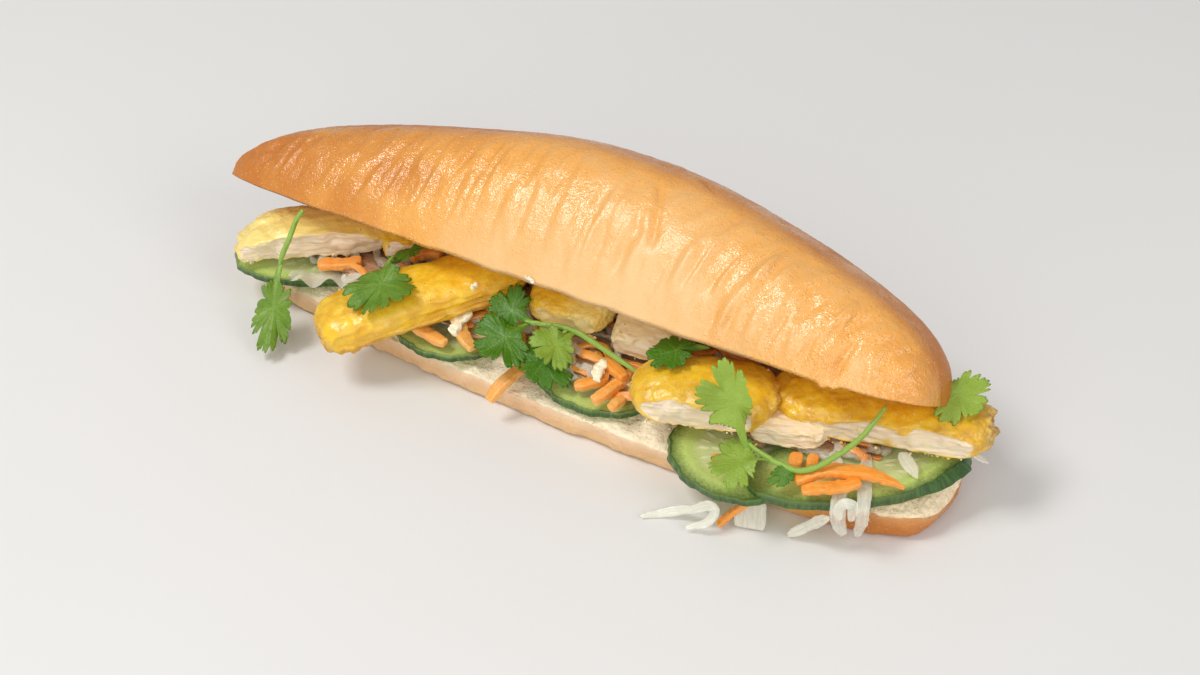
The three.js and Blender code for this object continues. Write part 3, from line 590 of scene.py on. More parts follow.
def new_group(name, output, **defaults):
    """A node group: its tree, its sheet, its place and numbers as signals, and its output socket."""
    tree = bpy.data.node_groups.new(name, "ShaderNodeTree")
    tree.interface.new_socket("Vector", in_out="INPUT", socket_type="NodeSocketVector")
    for label, default in defaults.items():
        socket = tree.interface.new_socket(label, in_out="INPUT", socket_type="NodeSocketFloat")
        socket.default_value = default
    tree.interface.new_socket(output, in_out="OUTPUT", socket_type="NodeSocketFloat")
    sheet = NodeSheet(tree)
    outputs = tree.nodes.new("NodeGroupInput").outputs
    entry = [Signal(sheet, outputs[label]) for label in ("Vector", *defaults)]
    leave = tree.nodes.new("NodeGroupOutput").inputs[output]
    return tree, sheet, entry, leave


def mottling_group(name):
    """Soft blotches in three sizes, from 0 to 1."""
    tree, sheet, (place, size), leave = new_group(name, "Mask", Size=6.0)
    scale = sheet.math("DIVIDE", 1.0, size)
    inputs = {"Vector": place, "Scale": scale, "Detail": 4.0, "Roughness": 0.62, "Distortion": 0.4}
    sheet.feed(leave, sheet.add("ShaderNodeTexNoise", inputs, "Fac").spread(0.3, 0.7))
    return tree


def speck_group(name):
    """Round specks in some cells of an even pattern; a larger amount gives more of them."""
    defaults = {"Size": 1.0, "Amount": 0.3, "Radius": 0.3}
    tree, sheet, (place, size, amount, radius), leave = new_group(name, "Mask", **defaults)
    cells = sheet.cells(place, sheet.math("DIVIDE", 1.0, size), "F1")
    draw = sheet.add("ShaderNodeSeparateColor", {"Color": cells.beside("Color")})
    outer = radius * draw.beside(1).vary(0.45, 1.0)
    sheet.feed(leave, sheet.math("LESS_THAN", draw, amount) * cells.spread(outer, outer * 0.6))
    return tree


def relief_group(name):
    """Height from 0 to 1 made of soft lumps with a fine grain on them."""
    tree, sheet, (place, size, grain), leave = new_group(name, "Height", Size=1.0, Grain=0.35)
    scale = sheet.math("DIVIDE", 1.0, size)
    inputs = {"Vector": place, "Scale": scale, "Detail": 2.0, "Roughness": 0.5}
    coarse = sheet.add("ShaderNodeTexNoise", inputs, "Fac")
    fine = sheet.cells(place, scale * 3.5)
    sheet.feed(leave, coarse * sheet.math("SUBTRACT", 1.0, grain) + fine * grain)
    return tree


# Shared groups with their numbers: size of the blotches; size of the cells, share of them that has
# a speck and radius; size of the lumps and share of the fine grain.
GROUP_MAKERS = {"Mottling": mottling_group, "Specks": speck_group, "Grainy relief": relief_group}


def new_material(name):
    """A material with its sheet of nodes and object coordinates in millimetres."""
    material = bpy.data.materials.new(name)
    material.use_nodes = True
    sheet = NodeSheet(material.node_tree)
    coordinates = sheet.add("ShaderNodeTexCoord", {}, "Object")
    return material, sheet, sheet.stretched(coordinates, (1 / MM, 1 / MM, 1 / MM))


def opaque(*colours):
    """Colour settings as the four values of a socket."""
    return [(*colour, 1.0) for colour in colours]


# ----------------------------------------
# Materials
# ----------------------------------------

PEPPER = (0.03, 0.015, 0.006, 1.0)
MEAT_FLUSH = (0.72, 0.42, 0.28, 1.0)
SEED_PALE = (0.80, 0.80, 0.52, 1.0)
PEEL_STRIPE = (0.10, 0.26, 0.02, 1.0)
PEEL_SPECK = (0.22, 0.40, 0.07, 1.0)
CRUMB_WHITE = (0.95, 0.88, 0.70, 1.0)
CRUMB_YELLOW = (0.90, 0.62, 0.10, 1.0)
CRUMB_SHADE = (0.7, 0.4, 0.15, 1.0)
SHRED_SHADE = (0.42, 0.28, 0.14)


def bread_material(name, settings):
    """Baked crust and porous crumb; the marks `bake` and `crumb` say how brown and which. On the lid
    `bake` also holds a painted highlight and painted shade, pale specks are painted glints and the
    crumb is darker at its pores as painted shade.
    """
    material, sheet, place = new_material(name)
    crumb = sheet.mark("crumb")
    blotch = sheet.shared("Mottling", place, 11.0)
    fleck = sheet.shared("Mottling", place, 1.3)
    heat = sheet.mark("bake") + blotch.vary(-0.09, 0.09) + fleck.vary(-0.05, 0.05)
    pale, gold, dark = opaque(settings.crust_pale, settings.crust_gold, settings.crust_dark)
    soft, inside = opaque(settings.crust_soft, settings.crumb)
    crust = sheet.mix(heat.spread(0.5, 1.0), sheet.mix(heat.spread(0.0, 0.5), pale, gold), dark)
    crust = sheet.mix(heat.spread(-0.4, -0.05, 1.0, 0.0), crust, soft)
    blister = sheet.shared("Specks", place, 1.6, 0.45, 0.36)
    crust = sheet.mix(blister * 0.16, crust, pale)
    # Pale specks painted on as glints of light, stronger where the crust is browner; they are also raised a
    # little in the bump.
    spark = sheet.shared("Specks", place, 1.05, 0.75, 0.38)
    crust = sheet.mix(spark * heat.spread(0.1, 0.7, 0.05, 0.55), crust, pale)
    sponge = sheet.cells(place, 0.62) * 0.62 + sheet.cells(place, 1.5) * 0.38
    hole = sponge * fleck.vary(0.8, 1.2)
    tanned = sheet.mix(heat.spread(0.3, 1.0, 0.0, 0.22), inside, gold)
    # The crumb is darker at its pores: painted shade in the holes.
    inner = sheet.mix(hole.spread(0.1, 0.36, 0.15, 1.0), sheet.mix(0.45, inside, gold), tanned)
    gloss = blotch.vary(0.17, 0.28) + heat.spread(0.84, 1.12, 0.0, 0.3) + heat.spread(0.05, 0.4, 0.26, 0.0)
    gloss = gloss.most(heat.spread(-0.3, 0.1, 0.75, 0.2)).most(crumb * 0.85)
    grain = sheet.shared("Grainy relief", place, 1.9, 0.4)
    roughened = heat.spread(0.1, 0.5, 0.15, 0.5) * heat.spread(0.9, 1.1, 1.0, 0.5)
    roughened = roughened.most(heat.spread(-0.3, 0.05, 0.6, 0.0))
    relief = (grain + (blister * 0.25 + spark * 0.3)) * roughened
    normal = sheet.bump(sheet.blend(crumb, relief, hole.spread(0.04, 0.5, 0.0, 0.46)), 0.9)
    sheet.finish(sheet.mix(crumb, crust, inner), gloss, normal, subsurface=0.06, reach=0.8, specular=0.88)
    return material


def chicken_material(name, settings):
    """Glazed turmeric skin, roasted places and pale fibrous meat where the slice is cut; the `brown`
    mark also holds painted shade in the hollows and the `pale` mark partly painted light.
    """
    material, sheet, place = new_material(name)
    meat = sheet.mark("meat")
    cloud = sheet.shared("Mottling", place, 7.0)
    small = sheet.shared("Mottling", place, 2.2)
    skin, deep, light = opaque(settings.skin, settings.skin_deep, settings.skin_pale)
    browned, flesh, flesh_dark = opaque(settings.browned, settings.meat, settings.meat_dark)
    skin = sheet.mix(cloud.spread(0.25, 0.95), skin, deep)
    skin = sheet.mix(sheet.mark("pale") + small.spread(0.55, 1.0, 0.0, 0.35), skin, light)
    skin = sheet.mix(sheet.mark("brown") * small.spread(0.15, 0.7, 0.3, 1.0), skin, browned)
    skin = sheet.mix(sheet.shared("Specks", place, 2.6, 0.34, 0.13) * 0.8, skin, PEPPER)
    grain = sheet.stretched(sheet.mark("grain", "Vector"), (0.12, 0.6, 1.1))
    fibres = sheet.noise(grain, 0.8, 4.0, 0.6)
    flesh = sheet.mix(fibres.spread(0.35, 0.7), flesh_dark, flesh)
    flesh = sheet.mix(small.spread(0.55, 1.0) * 0.5, flesh, light)
    flesh = sheet.mix(cloud.spread(0.55, 0.9) * 0.08, flesh, MEAT_FLUSH)
    gloss = small.vary(0.24, 0.46) + meat * 0.16
    lumps = sheet.shared("Grainy relief", place, 2.1, 0.3)
    normal = sheet.bump(sheet.blend(meat, lumps, fibres), 0.26)
    sheet.finish(sheet.mix(meat, skin, flesh), gloss, normal, subsurface=0.15, radius=(1.0, 0.55, 0.2),
                 reach=0.8, coat=0.3)
    return material


def cucumber_material(name, settings):
    """Moist flesh that greens towards the dark, ribbed skin."""
    material, sheet, place = new_material(name)
    ring = sheet.mark("ring")
    skin = sheet.mark("skin")
    cloud = sheet.shared("Mottling", place, 5.0)
    fleck = sheet.shared("Mottling", place, 0.9)
    heart, flesh, rind = opaque(settings.cucumber_heart, settings.cucumber_flesh, settings.cucumber_skin)
    pulp = sheet.mix((ring + cloud.vary(-0.06, 0.06)).spread(0.5, 0.66), heart, flesh)
    band = (ring + fleck.vary(-0.05, 0.05)).spread(0.76, 0.96)
    pulp = sheet.mix(band, pulp, sheet.mix(0.75, flesh, rind))
    pulp = sheet.mix(sheet.mark("seed") * 0.75, pulp, SEED_PALE)
    stripe = sheet.noise(sheet.mark("streak", "Vector"), 1.0, 3.0, 0.6)
    peel = sheet.mix(stripe.spread(0.45, 0.75, 0.0, 0.7), rind, PEEL_STRIPE)
    peel = sheet.mix(sheet.shared("Specks", place, 1.1, 0.5, 0.3) * 0.4, peel, PEEL_SPECK)
    gloss = cloud.vary(0.2, 0.36) + skin * 0.14
    relief = sheet.shared("Grainy relief", place, 1.6, 0.3) + stripe * skin * 2.2
    sheet.finish(sheet.mix(skin, pulp, peel), gloss, sheet.bump(relief, 0.22), subsurface=0.2,
                 radius=(0.7, 1.0, 0.35), reach=0.7, coat=0.2, coat_roughness=0.12)
    return material


def shred_material(name, main, second, depth=0.35, coat=0.3, subsurface=0.35, clear=0.0):
    """Fibrous strips of pickle, streaked along their length; a clear one lets light through."""
    material, sheet, place = new_material(name)
    fibres = sheet.noise(sheet.stretched(sheet.mark("grain", "Vector"), (0.09, 0.9, 0.9)), 0.7, 4.0, 0.65)
    cloud = sheet.shared("Mottling", place, 4.0)
    tint = fibres.spread(0.35, 0.7, 0.0, 0.5) + cloud.spread(0.4, 1.0, 0.0, 0.3) + sheet.mark("light")
    shaded = tuple(value * shade for value, shade in zip(main, SHRED_SHADE))
    main, second, dark = opaque(main, second, shaded)
    colour_mix = sheet.mix(sheet.mark("shade") * 0.9, sheet.mix(tint, main, second), dark)
    rough = 0.12 if clear else 0.24
    alpha = fibres.spread(0.3, 0.7, 1.0 - clear, 1.0 - 0.6 * clear) if clear else 1.0
    normal = sheet.bump(fibres if clear else fibres + cloud * 0.3, depth)
    sheet.finish(colour_mix, cloud.vary(rough, rough + 0.16), normal, alpha, subsurface, (1.0, 0.8, 0.6),
                 reach=1.0, coat=coat, coat_roughness=0.15)
    return material


def coriander_material(name, settings):
    """Leaves with paler veins, and stems; the mark `light` says how pale a leaf is."""
    material, sheet, place = new_material(name)
    cloud = sheet.shared("Mottling", place, 4.5)
    grain = sheet.shared("Mottling", place, 0.8)
    tone = sheet.mark("light") + cloud.vary(-0.14, 0.14) + grain.vary(-0.08, 0.08)
    leaf, leaf_light, stem = opaque(settings.leaf, settings.leaf_light, settings.stem)
    colour_mix = sheet.mix(sheet.mark("vein"), sheet.mix(tone, leaf, leaf_light), stem)
    net = sheet.cells(place, 0.75, "DISTANCE_TO_EDGE").spread(0.0, 0.25)
    sheet.finish(colour_mix, grain.vary(0.3, 0.5), sheet.bump(net * 0.5 + grain * 0.3, 0.14),
                 subsurface=0.3, radius=(0.5, 1.0, 0.2), reach=0.5, coat=0.08, specular=0.36)
    return material


def crumb_material(name):
    """Loose crumbs, tinted by the mark `warm` from bread white to turmeric yellow."""
    material, sheet, place = new_material(name)
    cloud = sheet.shared("Mottling", place, 1.2)
    base = sheet.mix(sheet.mark("warm"), CRUMB_WHITE, CRUMB_YELLOW)
    tinted = sheet.mix(cloud * 0.25, base, CRUMB_SHADE)
    sheet.finish(tinted, 0.6, sheet.bump(cloud, 0.12), subsurface=0.3, reach=1.0)
    return material


def floor_material(settings):
    """Plain pale floor."""
    material, sheet, place = new_material("floor")
    tone, soft = opaque(settings.floor, [0.97 * value for value in settings.floor])
    sheet.finish(sheet.mix(sheet.noise(place, 160.0, 2.0), tone, soft), 0.6)
    return material


def kept_material(name, maker, *values):
    """A material that is made once and used by several pieces."""
    return bpy.data.materials.get(name) or maker(name, *values)


# ----------------------------------------
# The roll
# ----------------------------------------

# Shape of the two halves: lengths in millimetres, angles in degrees, the others as shares.
LID = SimpleNamespace(
    squareness=2.57, left_droop=1.796, right_droop=1.529, bow=7.0, hollow=3.0, pitch=1.55,
    hinge=(-9.4, 33.1, 13.9), dome_share=0.6, crown=0.036, crown_pitch=4.5, crown_middle=0.12,
    right_reach=1.0, right_lift=2.4, girth=130.0, half_length=135.0,
)
BASE = SimpleNamespace(
    front_lip=8.6, back_lip=13.6, right_lip_rise=2.4, crumb_rise=2.6, tip_height=6.2, squareness=5,
    end_squareness=12, sink=1.2, right_reach=-2.6, bow=3.0,
)
ROLL_MIDDLE = -2.5

# Single folds in the crust of the lid: from and to as places along the roll (-1 to 1) and degrees
# up from the front lip, then depth and half width in millimetres.
FOLDS = [
    ((0.208, 60), (0.243, 43), 1.1, 1.3),
    ((0.243, 43), (0.268, 24), 1.2, 1.2),
    ((0.205, 37), (0.222, 26), 0.6, 1.4),
    ((0.40, 34), (0.375, 12), 0.7, 1.3),
    ((0.47, 42), (0.44, 14), 0.8, 1.2),
    ((0.535, 30), (0.51, 6), 0.8, 1.3),
    ((0.60, 40), (0.57, 20), 0.8, 1.4),
    ((0.64, 26), (0.62, 6), 0.7, 1.2),
    ((0.725, 24), (0.705, 4), 0.7, 1.2),
    ((0.69, 38), (0.66, 18), 0.8, 1.4),
    ((0.765, 33), (0.735, 10), 1.0, 1.4),
    ((0.805, 26), (0.785, 3), 0.9, 1.2),
    ((0.885, 32), (0.865, 12), 0.6, 1.2),
    ((0.10, 97), (0.17, 99), 0.5, 0.8),
    ((0.13, 87), (0.21, 89), 0.5, 0.7),
    ((0.25, 83), (0.33, 74), 0.6, 0.9),
    ((0.05, 16), (0.065, 5), 0.5, 1.6),
    ((-0.13, 17), (-0.115, 7), 0.4, 1.5),
]


def roll_taper(station, left_droop=1.0, right_droop=1.0):
    """Share of the full width or height left at places from -1 (left tip) to 1 (right tip)."""
    left = np.maximum(1 - np.abs(station) ** 1.66, 0) ** (0.318 * left_droop)
    right = np.maximum(1 - np.abs(station) ** 1.924, 0) ** (0.269 * right_droop)
    return np.where(station < 0, left, right)


def distance_to_fold(x, arc, start, end):
    """Distance in millimetres on the crust to a line, on which side, and how much of the fold is left."""
    places = [np.array([at[0] * LID.half_length, LID.girth * at[1] / 180]) for at in (start, end)]
    along = places[1] - places[0]
    offset = rows(x, arc) - places[0]
    share_along = np.clip(offset @ along / (along @ along), 0, 1)
    miss = offset - share_along[:, None] * along
    side = np.sign(offset[:, 0] * along[1] - offset[:, 1] * along[0])
    return np.linalg.norm(miss, axis=1), side, 1 - 0.85 * (2 * share_along - 1) ** 4


def crust_height(x, station, front, settings):
    """Height of the folds and lumps of the lid's crust, in millimetres."""
    arc = LID.girth * front / 180
    depth = settings.wrinkle_depth / MM
    flat = rows(x, arc, 0)
    lean = 0.2 * bell(station, -0.02, 0.25) - 0.16
    flow = rows(x + lean * arc, (0.24 - 0.11 * ramp(station, 0.25, 0.55)) * arc, 0)
    folds = noise(flow, 3.3, 3) + 0.4 * noise(flow, 1.9, 8)
    ridge = 0.8 - 2.4 * np.abs(noise(flow + 31, 4.6, 5))
    band = ramp(front, 1, 15 - 7 * ramp(station, 0.2, 0.5)) * (1 - ramp(front, 42, 74))
    place = 0.5 + 0.5 * bell(station, -0.25, 0.42) + 1.25 * bell(station, 0.62, 0.28)
    patch = 0.65 + 0.5 * noise(flat, 17.0, 9)
    height = depth * band * place * patch * (0.64 * folds + 0.46 * ridge)
    top = ramp(front, 60, 85) * (1 - ramp(front, 120, 150))
    height += 0.26 * top * noise(flat * (0.16, 1, 1), 4.0, 12)
    height += 0.42 * noise(flat * (0.6, 1, 1), 19.0, 21) * ramp(front, 0, 20)
    height += 0.12 * fractal_noise(flat, 3.4, 3, 25)
    lip_folds = noise(rows(x + 0.15 * arc, 0.1 * arc, 0), 4.2, 27)
    height += 0.5 * lip_folds * bell(front, 12, 9) * ramp(station, -0.3, 0.1)
    for start, end, drop, width in FOLDS:
        miss, side, left = distance_to_fold(x, arc, start, end)
        height -= left * drop * bell(miss, 0, width)
        height += 0.4 * left * drop * bell(miss, 2.4 * width, 1.6 * width) * (side > 0)
    return height


def lid_bake(x, station, front, relief):
    """How brown the crust of the lid is: pale at the front lip, dark at the back and the tips, with a
    painted highlight on the front shoulder and painted shade in the hollows of the folds.
    """
    pale_lip = ramp(station, -0.55, -0.1) * (1 - 0.6 * ramp(station, 0.3, 0.7))
    bake = 0.54 - 0.34 * bell(front, 0, 19) * pale_lip
    bake += 0.1 * noise(rows(x, 0.5 * front, 0), 9.0, 28)
    bake -= 0.12 * ramp(station, 0.2, 0.5) * ramp(front, 5, 20) * (1 - ramp(front, 50, 85))
    bake = bake + 0.3 * ramp(front, 58, 84) + 0.25 * ramp(front, 84, 104)
    bake = bake + 0.24 * ramp(-station, 0.1, 0.55) + 0.45 * ramp(-station, 0.66, 1.0)
    bake += 0.06 * ramp(station, 0.6, 0.85) * ramp(front, 8, 30)
    bake += 0.2 * ramp(station, 0.84, 1.0)
    # Paler on the middle of the front shoulder: a painted highlight for the broad reflection of the key
    # light.
    bake -= 0.22 * bell(station, 0.2, 0.26) * (1 - ramp(front, 42, 80))
    # Browner down in the hollows of the folds and paler on their ridges: painted shade and painted light.
    return bake + 0.045 * np.clip(-relief, -1, 1)


def make_lid(settings):
    """Upper half of the roll, tilted open about its back lip, with the folds of its crust."""
    mesh, start = sphere_mesh(190, 480)
    station = start[:, 0]
    turn = np.mod(np.arctan2(start[:, 2], start[:, 1]) / (2 * math.pi) + 1, 1)
    dome_share = LID.dome_share
    on_dome = turn <= dome_share + 1e-6
    angle = np.where(on_dome, turn / dome_share, 1 + (turn - dome_share) / (1 - dome_share)) * math.pi
    width = settings.roll_width / MM
    reach = settings.roll_length / MM / 2
    half_width = width / 2 * roll_taper(station)
    crown = 1 + LID.crown * np.cos(LID.crown_pitch * (station - LID.crown_middle))
    height = crown * settings.lid_height / MM * roll_taper(station, LID.left_droop, LID.right_droop)
    right = np.maximum(station, 0)
    x = station * reach + ROLL_MIDDLE + LID.right_reach * right**4
    swell = np.where(on_dome, 1 + 0.012 * unevenness(x, angle * 20, 0, 15) * np.sin(angle), 1)
    across = np.where(on_dome, squared(np.cos(angle), LID.squareness), np.cos(angle))
    rise = np.where(on_dome, height * squared(np.sin(angle), LID.squareness), -LID.hollow * np.sin(angle))
    narrowing = np.where(on_dome, 1, roll_taper(station))
    y = across * half_width * swell + LID.bow * (1 - (x / reach) ** 2) - (width / 2 + LID.bow)
    points = rows(x, y, rise * swell * narrowing + LID.right_lift * right**6)
    front = np.clip(180 - np.degrees(angle), 0, 180)
    move_points(mesh, points)
    normals = read_rows(mesh.vertex_normals, "vector")
    relief = crust_height(x, station, front, settings)
    pores = settings.pore_depth / MM * crumb_holes(points)
    inner = ~on_dome
    edge = np.where(on_dome, 1, ramp(-rise * narrowing, 0.0, 0.8))
    tip = ramp(1 - np.abs(station), 0.0, 0.01)
    points += normals * (np.where(inner, -pores * edge, relief) * tip)[:, None]
    lip = bell(front, 0, 7) * (angle > 2) * (1 - ramp(angle, math.pi, 1.3 * math.pi))
    ragged = 0.5 * noise(rows(x, 0, 0), 9.0, 14)
    tear = 1.5 * bell(station, 0.782, 0.012) + 1.2 * bell(station, 0.806, 0.01)
    points[:, 2] -= lip * (ragged + tear)
    move_points(mesh, turned(points, (0, LID.pitch, -math.degrees(settings.opening)), LID.hinge))
    crumb = np.where(inner, ramp(-rise * narrowing, 0.15, 0.7), 0)
    sharpen(mesh, np.abs(angle - math.pi) < 1e-4)
    marks = {"bake": lid_bake(x, station, front, relief), "crumb": crumb}
    material = kept_material("baked bread", bread_material, settings)
    return make_piece("lid", mesh, marks, material, ["bread_top"])


def crumb_holes(points):
    """Holes of the crumb from 0 to 1: large shallow ones among many small ones."""
    large = ramp(noise(points, 3.6, 41), 0.05, 0.6)
    small = ramp(noise(points, 1.7, 42), 0.0, 0.6)
    return 0.65 * large + 0.45 * small + 0.25 * noise(points, 8.0, 43)


def make_lower_half(settings):
    """Lower half of the roll: a shallow trough of crust with its crumb on top."""
    mesh, start = sphere_mesh(160, 440)
    station = start[:, 0]
    angle = np.arctan2(start[:, 2], start[:, 1])
    ring = np.hypot(start[:, 1], start[:, 2])
    half_width = settings.roll_width / MM / 2 * roll_taper(station)
    reach = settings.roll_length / MM / 2
    right = np.maximum(station, 0)
    x = station * reach + ROLL_MIDDLE + BASE.right_reach * right**4
    fullness = np.maximum(1 - np.abs(station) ** BASE.end_squareness, 0) ** 0.4
    lip = BASE.front_lip + (BASE.back_lip - BASE.front_lip) * (1 + np.cos(angle)) / 2
    tip_height = BASE.tip_height
    lip_height = tip_height + (lip + BASE.right_lip_rise * right**3 - tip_height) * fullness
    on_crumb = start[:, 2] >= 0
    squareness = BASE.squareness
    across = np.where(on_crumb, np.cos(angle), squared(np.cos(angle), squareness))
    sine = np.sin(angle)
    crumb_rise = BASE.crumb_rise * np.maximum(sine, 0) ** 0.6 * fullness
    crumb_rise += 0.5 * unevenness(x, start[:, 1] * 30, 0, 8) * start[:, 2]
    depth = (lip_height - tip_height * (1 - fullness)) * BASE.sink
    crust_rise = np.maximum(lip_height + squared(sine, squareness) * depth, 0)
    z = np.where(on_crumb, lip_height + crumb_rise, crust_rise)
    y = across * half_width + BASE.bow * (1 - (x / reach) ** 2)
    points = rows(x, y, z)
    move_points(mesh, points)
    normals = read_rows(mesh.vertex_normals, "vector")
    inside = ramp(start[:, 2] / np.maximum(ring, 1e-6), 0.04, 0.12)
    holes = 0.7 * settings.pore_depth / MM * crumb_holes(points)
    soft = 0.5 * noise(points, 13.0, 31) + 0.32 * fractal_noise(points, 4.0, 3, 34)
    soft += 0.35 * noise(rows(x, z * 0.25, 0), 5.0, 36)
    shift = np.where(on_crumb, -holes * inside, soft) * ramp(z, 0.0, 1.6)
    points += normals * shift[:, None]
    points[:, 2] = np.maximum(points[:, 2], 0)
    ragged = 0.5 * noise(points, 2.4, 38) + 0.6 * noise(points, 7.0, 40)
    points[:, 2] += ragged * bell(np.sin(angle), 0, 0.16) * fullness
    move_points(mesh, points)
    end = ramp(station, 0.55, 0.86)
    below = lip_height - z
    back = ramp(np.cos(angle), -0.2, 0.5)
    bake = -0.42 + 0.3 * ramp(below, 1.0, 8.0) + 1.3 * end
    bake = bake + 0.5 * ramp(-station, 0.8, 1.0) + 0.85 * back * (1 - end)
    bake += 0.07 * noise(points, 9.0, 39)
    fading = ramp(-below - 0.8 * noise(points, 5.0, 44), -3.5, -0.5) * (0.35 - 0.25 * end)
    fading *= 1 - back
    crumb = np.where(on_crumb, np.maximum(ramp(inside, 0.1, 0.6), fading), fading)
    marks = {"bake": bake, "crumb": crumb}
    material = kept_material("baked bread", bread_material, settings)
    return make_piece("lower_half", mesh, marks, material, ["bread_bottom"])


# ----------------------------------------
# Cucumber and chicken
# ----------------------------------------

CUCUMBER_BIAS = 0.25
SKIN_GROOVE = 0.35

# Rings of seeds: share of the slice's half sizes, how many, and how far they are turned on.
SEED_RINGS = [(0.27, 9, 0.3), (0.46, 15, 0.0)]
SEED_HALF_LENGTH = 2.0
SEED_HALF_WIDTH = 0.75

# Folds along the front of a ridged chicken slice: how far round below its middle line and how
# wide, in radians, and how high, in millimetres.
RIDGES = [(-0.16, 0.16, 0.8), (0.06, 0.07, -0.8), (0.2, 0.1, 0.5)]


def skin_bevel(turn, row):
    """How far the upper edge of a slice is cut back, so that its skin shows from above."""
    centre, spread, depth = row.bevel
    away = np.mod(turn - centre + math.pi, 2 * math.pi) - math.pi
    return depth * bell(away, 0, spread)


def seed_marks(flat, half, number):
    """How clearly each place on the face of a slice belongs to a seed."""
    seeds = np.zeros(len(flat))
    for ring_share, count, shift in SEED_RINGS:
        for k in range(count):
            lean = 2 * math.pi * (k + shift + 0.2 * math.sin(5 * k + number)) / count
            centre = np.array([math.cos(lean) * half[0], math.sin(lean) * half[1]]) * ring_share
            outward = centre / np.linalg.norm(centre)
            offset = flat[:, :2] - centre
            lengthwise = offset @ outward / SEED_HALF_LENGTH
            sideways = offset @ np.array([-outward[1], outward[0]]) / SEED_HALF_WIDTH
            seeds = np.maximum(seeds, 1 - lengthwise**2 - sideways**2)
    return ramp(seeds, 0.0, 0.5)


def make_cucumber(number, row, settings):
    """One bias-cut slice: moist face with seeds, thin dark skin lightly ribbed."""
    mesh, start = sphere_mesh(180, 100, lengthwise=False)
    turn = np.arctan2(start[:, 1], start[:, 0])
    down = np.arccos(np.clip(start[:, 2], -1, 1)) / math.pi
    ring = np.clip(np.minimum(down, 1 - down) / 0.4, 0, 1)
    rim_turn = np.clip((down - 0.4) / 0.2, 0, 1) * math.pi
    long, wide = row.half
    thick = row.thick
    rim = 0.035
    reach = ring * (1 - rim) + rim * squared(np.sin(rim_turn), 4)
    z = squared(np.cos(rim_turn), 5) * thick / 2
    ribs = np.sin(13 * turn) + 0.5 * np.sin(31 * turn + number)
    rib = 1 + SKIN_GROOVE / long * ribs * ramp(reach, 0.8, 1)
    slope = ramp(reach, 0.5, 1.0) * skin_bevel(turn, row) * (0.5 + z / thick)
    x = np.cos(turn) * (reach * long * rib - slope)
    y = np.sin(turn) * (reach * wide * rib - slope) - z * CUCUMBER_BIAS
    flat = rows(x, y, 0)
    sink = 0.35 * (1 - ramp(reach, 0.5, 0.75)) + 0.12 * noise(flat, 4.0, 50 + number)
    seeds = seed_marks(flat, row.half, number)
    face = np.abs(z) > thick / 2 - 0.2
    z -= np.sign(z) * np.where(face, sink - 0.16 * seeds, 0)
    bumps = 0.12 * fractal_noise(rows(x, y, z), 1.8, 2, 60 + number) * (~face)
    points = rows(x * (1 + bumps / long), y * (1 + bumps / wide), z)
    move_points(mesh, turned(points, row.turn, row.at))
    upper = 1 - ramp(0.5 - z / thick, 0.05, 0.5)
    shown = 1 - 0.6 * upper * (1 - np.clip(skin_bevel(turn, row) / 1.5, 0, 1))
    streak = rows(np.cos(turn) * long * 0.8, np.sin(turn) * wide * 0.8, z * 0.12)
    skin = shown * ramp(reach, 0.968, 0.985)
    # Lowering the ring by the slice's lightness pales its flesh: partly its own colour, partly painted
    # light.
    marks = {"ring": reach - row.light, "skin": skin, "seed": seeds * face, "streak": streak}
    material = kept_material("moist cucumber", cucumber_material, settings)
    return make_piece(f"cucumber_slice_{number}", mesh, marks, material, [f"cucumber_{number}"])


